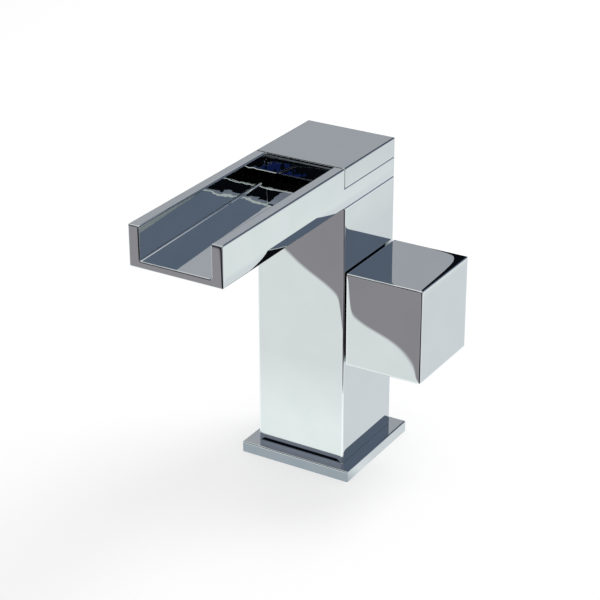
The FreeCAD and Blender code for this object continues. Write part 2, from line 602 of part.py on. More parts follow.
def make_spout():
    """Open channel with a sloping floor and a weir, and a water chamber under the cover."""
    body = new_body("spout")
    length = f"({BACK} - {TIP})"
    middle = f"(({BACK} + {TIP}) / 2)"
    pad(body, "XY", {"y": middle, "z": SPOUT_BOTTOM}, rectangle("sizes.column_width", length),
        "sizes.spout_height")

    cover_seat = f"({BACK} - {COVER_FRONT})"
    pocket(body, "XY", {"y": f"({BACK} + {COVER_FRONT}) / 2", "z": COVER_BOTTOM},
           rectangle(f"sizes.column_width + 2 * {OVER}", cover_seat), f"{RIM} - {COVER_BOTTOM}")
    slope = f"(sizes.floor_climb / ({WEIR} - {TIP}))"
    channel = outline((f"{TIP} - {OVER}", f"{TIP_FLOOR} - {OVER} * {slope}"),
                      (WEIR, WEIR_TOP),
                      (WEIR, f"{RIM} + {OVER}"),
                      (f"{TIP} - {OVER}", f"{RIM} + {OVER}"))
    pocket(body, "YZ", {"x": f"-{CHANNEL_WIDTH} / 2"}, channel, CHANNEL_WIDTH)
    round_long_corners(body, "sizes.channel_round")

    mouth = f"({MOUTH_END} - {WEIR})"
    pocket(body, "XY", {"y": f"({MOUTH_END} + {WEIR}) / 2", "z": CHAMBER_FLOOR},
           rectangle(CHANNEL_WIDTH, mouth), f"{RIM} - {CHAMBER_FLOOR}")
    pocket(body, "XY", {"y": f"({CHAMBER_END} + {MOUTH_END}) / 2", "z": CHAMBER_FLOOR},
           rectangle("sizes.chamber_width", f"{CHAMBER_END} - {MOUTH_END}"),
           f"{COVER_BOTTOM} - {CHAMBER_FLOOR}")
    pocket(body, "XY", {"z": f"{COVER_BOTTOM} - sizes.gasket_depth"},
           gasket_outline("sizes.slip_fit / 2"), "sizes.gasket_depth")

    sides = (SIDE, f"-{SIDE}")
    walls = sides + (f"{CHANNEL_WIDTH} / 2", f"-{CHANNEL_WIDTH} / 2")
    soften(body, "Fillet", "sizes.outer_round",
           outer_edges(body, x=walls, y=(TIP, BACK), z=(SPOUT_BOTTOM, RIM, TIP_FLOOR)))
    soften(body, "Chamfer", "sizes.seam_bevel",
           outer_edges(body, x=sides, y=(BACK,), z=(COVER_BOTTOM,)))
    soften(body, "Chamfer", "sizes.seam_bevel", outer_edges(body, x=walls, y=(COVER_FRONT,), z=(RIM,)))

    pocket(body, "XY", {"x": WAY, "z": SPOUT_BOTTOM}, circle("sizes.riser_radius"),
           "sizes.chamber_floor")
    countersinks(body, "cover_screw", COVER_SCREWS, SPOUT_BOTTOM, 1, f"{COVER_BOTTOM} - {SPOUT_BOTTOM}")
    countersinks(body, "spout_screw", SPOUT_SCREWS, CHAMBER_FLOOR, -1, "sizes.chamber_floor")
    return body


def round_long_corners(body, radius):
    """Fillet the two long inner corners between the channel's walls and its sloping floor."""
    inner = value(CHANNEL_WIDTH) / 2
    floor = value(TIP_FLOOR) + value("sizes.floor_climb") / 2
    names = []
    for index, edge in enumerate(body.Shape.Edges, start=1):
        middle = edge.CenterOfMass
        on_wall = abs(abs(middle.x) - inner) < SAME_PLACE
        if on_wall and abs(middle.z - floor) < SLOPE_TOLERANCE and edge.Length > inner:
            names.append(f"Edge{index}")
    soften(body, "Fillet", radius, names)


def countersinks(body, kind, places, face, up, length):
    """Clearance holes with cones for one kind of screw, from a face up (1) or down (-1)."""
    hole = f"(sizes.{kind}_radius + sizes.screw_play)"
    mouth = f"(sizes.{kind}_head + sizes.screw_play)"
    cone = f"(sizes.{kind}_head - sizes.{kind}_radius)"
    for x, y in places:
        before = body.Shape.Volume
        turned(body, "Groove", "Z", {"x": x, "y": y, "z": face},
               ("0", "0"), (mouth, "0"), (hole, f"{up} * {cone}"),
               (hole, f"{up} * ({length})"), ("0", f"{up} * ({length})"))
        if not body.Shape.Volume < before:
            raise RuntimeError(f"{body.Label}: a countersink for a {kind} cuts nothing")


def gasket_outline(margin):
    """Draws the U round the chamber, with a margin on each side of the gasket."""
    inner = f"(sizes.chamber_width / 2 + sizes.gasket_margin - ({margin}))"
    outer = f"({inner} + sizes.gasket_width + 2 * ({margin}))"
    front = f"({MOUTH_END} + sizes.gasket_margin - ({margin}))"
    inner_back = f"({CHAMBER_END} + sizes.gasket_margin - ({margin}))"
    outer_back = f"({inner_back} + sizes.gasket_width + 2 * ({margin}))"
    return outline((f"-{outer}", front), (f"-{inner}", front), (f"-{inner}", inner_back),
                   (inner, inner_back), (inner, front), (outer, front),
                   (outer, outer_back), (f"-{outer}", outer_back))


def make_cover_gasket():
    body = new_body("cover_gasket")
    pad(body, "XY", {"z": f"{COVER_BOTTOM} - sizes.gasket_depth"}, gasket_outline("0"),
        "sizes.gasket_depth")
    return body


def make_spout_cover():
    """Solid block that closes the chamber, flush with the spout's sides and the column's back."""
    body = new_body("spout_cover")
    front = f"({COVER_FRONT} + sizes.seam_gap)"
    pad(body, "XY", {"y": f"({BACK} + {front}) / 2", "z": COVER_BOTTOM},
        rectangle("sizes.column_width", f"{BACK} - {front}"), "sizes.cover_thickness")
    sides = (SIDE, f"-{SIDE}")
    soften(body, "Fillet", "sizes.outer_round", outer_edges(body, x=sides, y=(BACK,), z=(RIM,)))
    soften(body, "Chamfer", "sizes.seam_bevel",
           outer_edges(body, x=sides, y=(front, BACK), z=(COVER_BOTTOM, RIM)))
    for across, along in COVER_SCREWS:
        pocket(body, "XY", {"x": across, "y": along, "z": COVER_BOTTOM},
               circle("sizes.cover_screw_radius + sizes.thread_depth"),
               "sizes.cover_screw_bite + sizes.screw_runout")
    return body


def make_flow_diffuser():
    """Comb across the chamber's mouth that spreads the water over the weir."""
    body = new_body("flow_diffuser")
    width = f"({CHANNEL_WIDTH} - 2 * sizes.slip_fit)"
    tall = f"({COVER_BOTTOM} - {CHAMBER_FLOOR} - 2 * sizes.slip_fit)"
    back = f"({MOUTH_END} - sizes.slip_fit)"
    pad(body, "XY", {"y": f"{back} - sizes.diffuser_depth / 2", "z": f"{CHAMBER_FLOOR} + sizes.slip_fit"},
        rectangle(width, "sizes.diffuser_depth"), tall)
    pitch = f"(({width} - sizes.diffuser_rib) / sizes.diffuser_slots)"
    slot = pocket(body, "XZ", {"x": f"-{width} / 2 + sizes.diffuser_rib / 2 + {pitch} / 2", "y": back,
                               "z": f"({CHAMBER_FLOOR} + {COVER_BOTTOM}) / 2"},
                  rectangle(f"{pitch} - sizes.diffuser_rib", f"{tall} - 2 * sizes.diffuser_rail"),
                  "sizes.diffuser_depth")
    pattern = body.newObject("PartDesign::LinearPattern", "flow_diffuser_slots")
    pattern.Originals = [slot]
    pattern.Direction = (slot.Profile[0], ["H_Axis"])
    pattern.setExpression("Length", f"{pitch} * (sizes.diffuser_slots - 1)")
    pattern.setExpression("Occurrences", "sizes.diffuser_slots")
    body.Tip = pattern
    return body


def make_cover_screws():
    """Four screws, up through the spout's rear into the cover."""
    return countersunk_screws("cover_screw", COVER_SCREWS, f"{SPOUT_BOTTOM} + sizes.seal_relief", 1,
                              f"{COVER_BOTTOM} - {SPOUT_BOTTOM} + sizes.cover_screw_bite")


def make_spout_screws():
    """Two screws, down through the chamber's floor into the column."""
    return countersunk_screws("spout_screw", SPOUT_SCREWS, CHAMBER_FLOOR, -1,
                              "sizes.chamber_floor + sizes.spout_screw_bite")


# Cartridge, fixed side ---------------------------------------------------------------------------

def make_cartridge_base():
    """Plastic foot with the three ports, seats for their seals, locating pegs and an O-ring groove."""
    disc = rod("base_disc", SEAT, "sizes.base_length", "sizes.cartridge_radius")
    pegs = [rod(f"base_peg_{index}", f"{SEAT} - sizes.peg_length", f"sizes.peg_length + {OVER}",
                "sizes.peg_radius", across, above)
            for index, (across, above) in enumerate(PEGS)]
    ports = [rod(f"base_port_{index}", f"{SEAT} - {OVER}", f"sizes.base_length + 2 * {OVER}", radius,
                 across, above)
             for index, (across, above, radius) in enumerate(PORTS)]
    seats = [rod(f"base_seat_{index}", f"{SEAT} - {OVER}", f"sizes.port_seal_depth + {OVER}",
                 f"({radius}) + sizes.port_seal_wall", across, above)
             for index, (across, above, radius) in enumerate(PORTS)]
    section = "(sizes.ring_section + 2 * sizes.slip_fit)"
    groove_start = f"{SEAT} + sizes.base_ring_back - {section} / 2"
    groove = cut("base_groove",
                 rod("base_groove_outer", groove_start, section, f"sizes.cartridge_radius + {OVER}"),
                 rod("base_groove_inner", groove_start, section, f"{BORE_RADIUS} - {section}"))
    return cut("cartridge_base", fuse("base_blank", disc, *pegs), groove, *ports, *seats)


def make_base_ring():
    radius = f"({BORE_RADIUS} - sizes.seal_relief - sizes.ring_section / 2)"
    place = {"x": f"{SEAT} + sizes.base_ring_back", "z": AXIS}
    return o_ring("base_ring", "X", place, radius, "sizes.ring_section")


def make_port_seals():
    """Three rubber rings between the column's seat and the cartridge base."""
    seals = []
    for index, (across, above, radius) in enumerate(PORTS):
        outer = rod(f"seal_outer_{index}", SEAT, "sizes.port_seal_depth",
                    f"({radius}) + sizes.port_seal_wall - sizes.seal_relief", across, above)
        bore = rod(f"seal_bore_{index}", SEAT, "sizes.port_seal_depth", radius, across, above)
        seals.append(cut(f"port_seal_{index}", outer, bore))
    return group("port_seals", seals)


def make_fixed_disc():
    disc = rod("fixed_disc_blank", FIXED_DISC, "sizes.disc_thickness", FIXED_DISC_RADIUS)
    ports = [rod(f"fixed_disc_port_{index}", FIXED_DISC, "sizes.disc_thickness", radius, across, above)
             for index, (across, above, radius) in enumerate(PORTS)]
    return cut("fixed_disc", disc, *ports)


def make_cartridge_housing():
    """Plastic shell: cup over the discs, flange under the nut, and a neck round the spindle."""
    body = new_body("cartridge_housing")
    bore = "(sizes.spindle_radius + sizes.slip_fit)"
    start = FIXED_DISC
    turned(body, "Revolution", "X", {"x": start, "z": AXIS},
           ("0", DISC_ROOM), ("0", "sizes.cartridge_radius"),
           (f"{FLANGE} - {start}", "sizes.cartridge_radius"), (f"{FLANGE} - {start}", FLANGE_RADIUS),
           (f"{NUT} - {start}", FLANGE_RADIUS), (f"{NUT} - {start}", SHOULDER_RADIUS),
           (f"{SIDE} - {start}", SHOULDER_RADIUS), (f"{SIDE} - {start}", "sizes.neck_radius"),
           (f"{NECK_END} - {start}", "sizes.neck_radius"), (f"{NECK_END} - {start}", bore),
           (f"{CAVITY_END} - {start}", bore), (f"{CAVITY_END} - {start}", DISC_ROOM))
    return body


def make_cartridge_nut():
    """Threaded ring with a slotted head that holds the cartridge in the column."""
    body = new_body("cartridge_nut")
    bore = f"({SHOULDER_RADIUS} + sizes.nut_fit)"
    lip = "(sizes.neck_radius + sizes.nut_lip_fit)"
    head_end = f"({NUT_HEAD} + sizes.nut_head_length)"
    thread = f"({NUT_THREAD_RADIUS} - sizes.thread_depth)"
    turned(body, "Revolution", "X", {"x": NUT, "z": AXIS},
           ("0", bore), ("0", thread), (f"{NUT_HEAD} - {NUT}", thread),
           (f"{NUT_HEAD} - {NUT}", NUT_HEAD_RADIUS),
           (f"{head_end} - {NUT}", NUT_HEAD_RADIUS), (f"{head_end} - {NUT}", bore),
           (f"{NUT_LIP_END} - {NUT}", bore), (f"{NUT_LIP_END} - {NUT}", lip),
           (f"{NUT_HEAD} - {NUT}", lip), (f"{NUT_HEAD} - {NUT}", bore))
    slot_start = {"x": f"{head_end} - sizes.nut_slot_depth", "z": AXIS}
    span = f"(2 * {NUT_HEAD_RADIUS} + 2 * {OVER})"
    for width, tall in (("sizes.nut_slot_width", span), (span, "sizes.nut_slot_width")):
        pocket(body, "YZ", slot_start, rectangle(width, tall), "sizes.nut_slot_depth")
    return body


def make_stop_ring():
    """Ring on the cartridge neck with a wall round part of it: its two ends stop the handle."""
    start = f"({NUT_LIP_END} + sizes.slip_fit)"
    bore = "(sizes.neck_radius + sizes.slip_fit)"
    reach = f"({NECK_END} - {start})"
    free = "(sizes.handle_travel + sizes.stop_lug_angle + 2 * sizes.stop_play)"
    ring = rod("stop_ring_disc", start, reach, STOP_RADIUS)
    wall = rod("stop_ring_wall", start, f"{reach} + sizes.stop_wall_length", STOP_RADIUS,
               turn=f"sizes.stop_lug_start - sizes.stop_play + {free}", angle=f"360 - {free}")
    hole = rod("stop_ring_bore", start, f"{reach} + sizes.stop_wall_length", bore)
    return cut("stop_ring", fuse("stop_ring_blank", ring, wall), hole)


# Cartridge and handle, turning side ----------------------------------------------------------------

def make_moving_disc():
    """Ceramic disc with the mixing cavity that joins a port's water to the mixed port."""
    disc = rod("moving_disc_blank", MOVING_DISC, "sizes.disc_thickness", MOVING_DISC_RADIUS)
    cavity = rod("moving_disc_cavity", MOVING_DISC, "sizes.cavity_depth", "sizes.cavity_radius")
    lobe = rod("moving_disc_lobe", MOVING_DISC, "sizes.cavity_depth",
               f"{MOVING_DISC_RADIUS} - sizes.lobe_inset",
               turn="sizes.lobe_start", angle="sizes.lobe_angle")
    notches = carrier_lugs("moving_disc_notch", "sizes.slip_fit")
    return cut("moving_disc", disc, cavity, lobe, *notches)


def carrier_lugs(label, play):
    """Two lugs at the disc's rim, above and below the axis, or their notches with play round them."""
    reach = f"(sizes.lug_reach + 2 * ({play}))"
    length = f"(sizes.lug_depth + ({play}))"
    centre = f"({MOVING_DISC_RADIUS} - sizes.lug_reach / 2 - sizes.lug_inset)"
    return [bar(f"{label}_{index}", f"{CARRIER} - {length}", length, f"sizes.lug_width + 2 * ({play})",
                reach, z=f"{side} * {centre}")
            for index, side in enumerate((-1, 1))]


def make_disc_carrier():
    """Plastic driver: lugs into the moving disc, and a slot for the spindle's tongue."""
    disc = rod("carrier_disc", CARRIER, "sizes.disc_thickness", MOVING_DISC_RADIUS)
    slot = bar("carrier_slot", f"{SPINDLE} - sizes.tongue_depth - sizes.slip_fit",
               "sizes.tongue_depth + 2 * sizes.slip_fit", "sizes.tongue_width + 2 * sizes.slip_fit",
               "sizes.tongue_span + 2 * sizes.slip_fit")
    return cut("disc_carrier", fuse("carrier_blank", disc, *carrier_lugs("carrier_lug", "0")), slot)


def make_spindle():
    """Brass spindle: tongue, flange, O-ring groove, and teeth at the handle's end."""
    body = new_body("spindle")
    section = "(sizes.ring_section + 2 * sizes.slip_fit)"
    ring = f"({SIDE} + sizes.spindle_ring_place)"
    groove = f"(sizes.spindle_radius - {section} + sizes.slip_fit)"
    turned(body, "Revolution", "X", {"x": SPINDLE, "z": AXIS},
           ("0", "0"), ("0", "sizes.spindle_flange"),
           ("sizes.spindle_flange_length", "sizes.spindle_flange"),
           ("sizes.spindle_flange_length", "sizes.spindle_radius"),
           (f"{ring} - {section} / 2 - {SPINDLE}", "sizes.spindle_radius"),
           (f"{ring} - {section} / 2 - {SPINDLE}", groove),
           (f"{ring} + {section} / 2 - {SPINDLE}", groove),
           (f"{ring} + {section} / 2 - {SPINDLE}", "sizes.spindle_radius"),
           (f"{SPLINE_END} - {SPINDLE}", "sizes.spindle_radius"), (f"{SPLINE_END} - {SPINDLE}", "0"))
    pad(body, "YZ", {"x": f"{SPINDLE} - sizes.tongue_depth", "z": AXIS},
        rectangle("sizes.tongue_width", "sizes.tongue_span"), "sizes.tongue_depth")
    half_root = "(sizes.spline_gap / 2)"
    half_mouth = f"({half_root} + (sizes.spline_depth + {OVER}) * tan(sizes.spline_flank))"
    tooth_gap = pocket(body, "YZ", {"x": SPLINE, "z": AXIS},
                       outline((f"-{half_root}", "sizes.spindle_radius - sizes.spline_depth"),
                               (half_root, "sizes.spindle_radius - sizes.spline_depth"),
                               (half_mouth, f"sizes.spindle_radius + {OVER}"),
                               (f"-{half_mouth}", f"sizes.spindle_radius + {OVER}")),
                       f"{SPLINE_END} - {SPLINE}")
    pattern = body.newObject("PartDesign::PolarPattern", "spindle_teeth")
    pattern.Originals = [tooth_gap]
    pattern.Axis = (tooth_gap.Profile[0], ["N_Axis"])
    pattern.Angle = 360
    pattern.setExpression("Occurrences", "sizes.spline_teeth")
    body.Tip = pattern
    return body


def make_spindle_ring():
    radius = "(sizes.spindle_radius + sizes.slip_fit - sizes.seal_relief - sizes.ring_section / 2)"
    place = {"x": f"{SIDE} + sizes.spindle_ring_place", "z": AXIS}
    return o_ring("spindle_ring", "X", place, radius, "sizes.ring_section")


def make_handle_insert():
    """Hub pressed into the cube: toothed spindle bore, set screw hole, and the lug for the stops."""
    flange = rod("insert_flange", INSERT, "sizes.insert_flange_length", STOP_RADIUS)
    hub = rod("insert_hub", INSERT, f"{HUB_END} - {INSERT} - sizes.slip_fit",
              "sizes.hub_radius - sizes.slip_fit / 2")
    lug_length = f"({INSERT} - {NECK_END} - sizes.stop_gap)"
    lug = rod("insert_lug", f"{INSERT} - {lug_length}", f"{lug_length} + {OVER}",
              f"{STOP_RADIUS} - sizes.stop_lug_fit", turn="sizes.stop_lug_start",
              angle="sizes.stop_lug_angle")
    lug_bore = rod("insert_lug_bore", f"{INSERT} - {lug_length}", lug_length,
                   "sizes.neck_radius + sizes.stop_lug_fit")
    bore = rod("insert_bore", f"{INSERT} - {OVER}", f"{HUB_END} - {INSERT} + 2 * {OVER}",
               "sizes.spindle_radius + sizes.slip_fit / 2")
    screw_hole = upright_rod("insert_screw_hole", SET_SCREW, "0", f"{AXIS} - 2 * sizes.hub_radius",
                             "2 * sizes.hub_radius", "sizes.set_screw_radius + sizes.thread_depth")
    return cut("handle_insert", fuse("insert_blank", flange, hub, lug), lug_bore, bore, screw_hole)


def upright_rod(label, x, y, z, height, radius):
    cylinder = doc.addObject("Part::Cylinder", label)
    cylinder.setExpression("Radius", radius)
    cylinder.setExpression("Height", height)
    for axis, place in zip("xyz", (x, y, z)):
        cylinder.setExpression(f"Placement.Base.{axis}", place)
    return cylinder


def make_handle_cube():
    """Cube handle: pocket over the nut, hub bore, and the set screw's hole from below."""
    body = new_body("handle_cube")
    pad(body, "YZ", {"x": HANDLE, "z": AXIS}, rectangle(HANDLE_DEPTH, "sizes.handle_tall"),
        "sizes.handle_length")
    half = f"({HANDLE_DEPTH} / 2)"
    sides = {"y": (half, f"-{half}"), "z": (HANDLE_BOTTOM, f"{HANDLE_BOTTOM} + sizes.handle_tall")}
    soften(body, "Fillet", "sizes.outer_round",
           outer_edges(body, **sides, x=(f"{HANDLE} + sizes.handle_length",)))
    soften(body, "Chamfer", "sizes.seam_bevel", outer_edges(body, **sides, x=(HANDLE,)))
    pocket(body, "YZ", {"x": HANDLE, "z": AXIS}, circle(POCKET_RADIUS), "sizes.pocket_depth")
    pocket(body, "YZ", {"x": POCKET_END, "z": AXIS}, circle("sizes.hub_radius"), "sizes.hub_depth")
    pocket(body, "XY", {"x": SET_SCREW, "z": HANDLE_BOTTOM},
           circle("sizes.set_screw_radius + sizes.thread_depth"), f"{AXIS} - {HANDLE_BOTTOM}")
    pocket(body, "XY", {"x": SET_SCREW, "z": HANDLE_BOTTOM}, circle("sizes.cap_radius"),
           "sizes.cap_length + sizes.slip_fit")
    return body


def make_set_screw():
    """Grub screw with a hexagon socket, its end against the spindle's teeth."""
    top = f"({AXIS} - sizes.spindle_radius - sizes.slip_fit / 2)"
    blank = upright_rod("set_screw_blank", SET_SCREW, "0", f"{top} - sizes.set_screw_length",
                        "sizes.set_screw_length", "sizes.set_screw_radius")
    place = f"placement(vector({SET_SCREW}; 0; {top} - sizes.set_screw_length); rotationx(0))"
    return cut("set_screw", blank, hexagon_socket("set_screw", place))


def make_screw_cap():
    """Round plug that closes the set screw's hole, flush with the cube's underside."""
    body = new_body("screw_cap")
    radius = "(sizes.cap_radius - sizes.seal_relief)"
    turned(body, "Revolution", "Z", {"x": SET_SCREW, "z": f"{HANDLE_BOTTOM} + sizes.seal_relief"},
           ("0", "0"), (f"{radius} - sizes.cap_bevel", "0"), (radius, "sizes.cap_bevel"),
           (radius, "sizes.cap_length"), ("0", "sizes.cap_length"))
    return body


def make_glide_ring():
    """Plastic ring in the pocket's mouth that centres the cube on the nut."""
    body = new_body("glide_ring")
    ring = circle(f"{NUT_HEAD_RADIUS} + sizes.glide_running_gap",
                  f"{POCKET_RADIUS} - sizes.seal_relief")
    pad(body, "YZ", {"x": f"{NUT_HEAD} + sizes.glide_setback", "z": AXIS}, ring, "sizes.glide_length")
    return body


# Build, test and write --------------------------------------------------------------------------

SUB_PARTS = [
    make_base_plate(), make_foot_seal(), make_plate_ring(), make_column(), make_riser_ring(),
    make_spout(), make_cover_gasket(), make_spout_cover(), make_flow_diffuser(),
    make_cover_screws(), make_spout_screws(),
    make_cartridge_base(), make_base_ring(), make_port_seals(), make_fixed_disc(),
    make_cartridge_housing(), make_cartridge_nut(), make_stop_ring(),
    make_moving_disc(), make_disc_carrier(), make_spindle(), make_spindle_ring(),
    make_handle_insert(), make_handle_cube(), make_set_screw(), make_screw_cap(), make_glide_ring(),
]
doc.recompute()

for item in doc.Objects:
    if "Invalid" in item.State or "Error" in item.State:
        raise RuntimeError(f"{item.Label} failed: {item.State}")
for item in SUB_PARTS:
    if item.Shape.isNull() or not item.Shape.isValid() or not item.Shape.Solids:
        raise RuntimeError(f"{item.Label} has no valid solid")

os.makedirs("parts", exist_ok=True)
for item in SUB_PARTS:
    item.Shape.exportStep(f"parts/{item.Label}.step")
    print(item.Label, len(item.Shape.Solids), round(item.Shape.Volume, 1))
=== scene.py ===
"""Waterfall basin tap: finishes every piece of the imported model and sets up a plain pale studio.

Laid out as a Blender add-on and run as a script. Lengths are metres, in the frame of the model:
+Z up from the deck, the spout towards -Y and the cube handle on the +X side.
"""

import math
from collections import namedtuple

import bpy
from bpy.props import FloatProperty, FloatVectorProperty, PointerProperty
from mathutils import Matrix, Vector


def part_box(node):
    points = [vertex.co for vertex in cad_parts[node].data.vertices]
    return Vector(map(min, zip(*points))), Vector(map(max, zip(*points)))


bl_info = {
    "name": "Waterfall Basin Tap",
    "version": (1, 0, 0),
    "blender": (4, 5, 0),
    "location": "3D View > Sidebar > Basin Tap",
    "description": "Finishes for a chrome waterfall basin tap, and a plain studio to show it in",
    "category": "Object",
}

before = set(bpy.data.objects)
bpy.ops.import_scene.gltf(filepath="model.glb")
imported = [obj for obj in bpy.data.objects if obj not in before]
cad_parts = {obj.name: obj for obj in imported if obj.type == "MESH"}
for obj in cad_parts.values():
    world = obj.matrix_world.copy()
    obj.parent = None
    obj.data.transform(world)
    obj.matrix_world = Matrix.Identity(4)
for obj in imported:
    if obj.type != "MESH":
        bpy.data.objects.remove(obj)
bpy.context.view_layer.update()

# The noise of a wave spans about a quarter of its range each way from the middle.
WAVE_SPAN = 4.0

# Where a noise from 0 to 1 passes from one finish to the other.
CLOUD_NOISE = (0.4, 0.65)
HAZE_NOISE = (0.45, 0.75)
GRAIN_NOISE = (0.3, 0.7)

# Which way a face looks changes over this much each side of edge-on, as a cosine.
FACING_BLUR = 0.1

# How polishing rolls the faces over at their edges: the lean at an edge, in degrees, and how far in from
# the low and the high X, Y and Z ends of the piece it begins, in metres. It fades fast from the edge.
Roll = namedtuple("Roll", "tilt low_reach high_reach")
PLATE_ROLL = Roll(2, (0.003, 0.003, 0.001), (0.003, 0.003, 0.001))
COLUMN_ROLL = Roll(7, (0.0055, 0.0055, 0.003), (0.0055, 0.0055, 0.003))
SPOUT_ROLL = Roll(10, (0.003, 0.004, 0.016), (0.003, 0.004, 0.003))
COVER_ROLL = Roll(6, (0.004, 0.004, 0.003), (0.004, 0.004, 0.003))
HANDLE_ROLL = Roll(7, (0.0055, 0.0055, 0.0055), (0.0055, 0.0055, 0.0055))

# The column's foot flares out to the plate: by how many degrees, over what height, and how far in from
# the column's upright edges the flare is full.
FOOT_FLARE = 6
FOOT_HEIGHT = 0.0024
FOOT_FADE = 0.003

# The plate's sides lean in towards their foot, by degrees.
PLATE_DRAFT = 3

# The cover's front face leans back towards its top, and has a bright lip along its foot. Each stop is a
# share of the face's height and the slope there. Only what lies this deep, in metres, counts as the face.
COVER_FACE = ((0.0, 1.25), (0.06, 1.2), (0.08, 0.02), (0.6, 0.03), (0.86, 0.18), (1.0, 0.47))
COVER_FACE_DEPTH = 0.00004

# The channel's inner faces are less flat near the cover: the width of the ripples in metres, their tilt
# in degrees, and where they begin and are full, in metres from the cover's front.
RIPPLE_SIZE = 0.0045
RIPPLE_TILT = 1.3
RIPPLE_REACH = (0.035, 0.008)

# The strip at a box edge that gets a painted highlight, a brighter chrome tint: where it is full and where
# it has gone, in metres from the edge.
EDGE_HIGHLIGHT_STRIP = (0.0005, 0.0009)

# Inside the water chamber the chrome gives way to painted shade, near-black: over what depth the chrome
# ends, in metres, and how much rougher it is.
CHAMBER_SHADE_BLUR = 0.0001
CHAMBER_ROUGHNESS = 0.5

# Moulded pieces: width of the mottling in metres, its darkest shade, how far it sways the roughness, and
# the grain's strength.
MOTTLE_SIZE = 0.004
MOTTLE_SHADE = 0.8
MOTTLE_SWAY = 0.06
GRAIN_STRENGTH = 0.6

# What sets them apart: roughness, width and depth of the grain in metres, and how much they shine.
Moulding = namedtuple("Moulding", "roughness grain_width grain_depth shine")
RUBBER = Moulding(0.62, 0.0003, 0.00002, 0.5)
BLACK_PLASTIC = Moulding(0.5, 0.0004, 0.00001, 0.05)
GREY_PLASTIC = Moulding(0.42, 0.0004, 0.00001, 0.5)
WHITE_PLASTIC = Moulding(0.38, 0.0004, 0.00001, 0.5)
CAP_PLASTIC = Moulding(0.35, 0.0004, 0.00001, 0.5)

# Turned pieces: their roughness; width and depth of a tool mark in metres, how much longer than wide it
# is, how far it sways the roughness, and its strength; width of the stains, and their darkest shade.
BRASS_ROUGHNESS = 0.28
STEEL_ROUGHNESS = 0.3
MARK_SIZE = 0.00025
MARK_DEPTH = 0.00002
MARK_STRETCH = 20
MARK_SWAY = 0.08
MARK_STRENGTH = 0.5
STAIN_SIZE = 0.006
STAIN_SHADE = 0.82

# Ceramic: width of its speckles in metres, their darkest shade, and the least and greatest roughness.
SPECKLE_SIZE = 0.0006
SPECKLE_SHADE = 0.93
CERAMIC_ROUGHNESS = (0.12, 0.24)

# What the chrome mirrors above the horizon: azimuths from the front towards the handle's side, and
# elevations, in degrees, with a colour.
Card = namedtuple("Card", "name azimuths elevations tint")
NEAR_BLACK = (0.004, 0.005, 0.008)
STUDIO_CARDS = (
    Card("grey_card", (204.8, 262), (18.3, 44), (0.445, 0.46, 0.50)),
    Card("low_card", (204.8, 262), (3, 18.3), (0.06, 0.07, 0.10)),
    Card("black_gap", (171, 204.8), (3, 44), NEAR_BLACK),
    Card("slate_card", (98, 171), (3, 44), (0.165, 0.20, 0.28)),
    Card("black_card", (-70, -2), (4, 26.5), NEAR_BLACK),
    Card("high_card", (-60, -34), (43, 57), (0.02, 0.02, 0.025)),
    Card("dark_card", (2, 29.6), (4, 36), NEAR_BLACK),
    Card("blue_card", (29.6, 40), (4, 21.8), (0.01, 0.02, 0.11)),
    Card("dim_card", (29.6, 40), (21.8, 36), NEAR_BLACK),
    Card("side_card", (40, 62), (4, 36), (0.12, 0.13, 0.15)),
)
# How far off the cards stand, in metres, and how finely they bend round the tap.
CARD_DISTANCE = 3.0
CARD_STEP = math.radians(3)

# The dome behind the cards: its radius in metres, its rings and sides, and how high the rings go. Its
# colours change over heights that are shares of its radius.
DOME_DISTANCE = 3.6
DOME_RINGS, DOME_SIDES = 16, 48
DOME_TOP = math.radians(88)
WALL_FOOT, WALL_HEAD = (0.11, 0.12, 0.17), (0.37, 0.39, 0.49)
WALL_HEIGHTS = (0.1, 0.7)
CEILING = (0.95, 0.95, 0.95)
CEILING_HEIGHTS = (0.68, 0.73)

# The floor that the chrome mirrors, in metres. First, how far its edges blur each way: where the paper
# beside the tap begins, round the plate's shade, and where the lit table ends.
BESIDE_BLUR = 0.008
SHADE_BLUR = 0.0004
TABLE_BLUR = 0.012
# How far the paper's edge blurs inwards and outwards.
PAPER_BLUR = (-0.0005, 0.0015)
# How far behind the tap the paper beside it starts to dim, and is as dim as the rest.
BESIDE_BACK = (0.2, 0.32)
# Along the paper's edge from the tap's axis, towards the handle's side: where its wave begins and is
# full, where the dark beyond the table begins and is full, and where that dark begins to end and is gone.
WAVE_ALONG = (-0.21, -0.125)
DARK_ALONG = (-0.05, -0.02)
LIT_ALONG = (0.11, 0.14)
# As shares of half the plate's side, in front of the axis: the paper's glare is full up to the first and
# gone at the second; the white in front of the tap ends here; and the plate's shade begins and is full.
GLARE_REACH = (2, 4)
FRONT_REACH = 1.4
SHADE_START = (0.5, 1)
# The dark beyond the table fades out over this share of its reach.
TABLE_END_FADE = 0.5

# Strength of the world's even light, where what is seen of it is 1.
WORLD_LIGHT = 0.75


# Settings -------------------------------------------------------------------------------------------

def colour(name, description, default):
    """A colour that a user can change."""
    return FloatVectorProperty(name=name, description=description, default=default, subtype="COLOR",
                               size=3, min=0.0, max=1.0)


def share(name, description, default):
    """A number from 0 to 1 that a user can change."""
    return FloatProperty(name=name, description=description, default=default, subtype="FACTOR",
                         min=0.0, max=1.0)


def length(name, description, default):
    """A length in metres that a user can change."""
    return FloatProperty(name=name, description=description, default=default, unit="LENGTH", precision=5)


def angle(name, description, degrees):
    """An angle that a user can change."""
    return FloatProperty(name=name, description=description, default=math.radians(degrees),
                         subtype="ANGLE", unit="ROTATION")


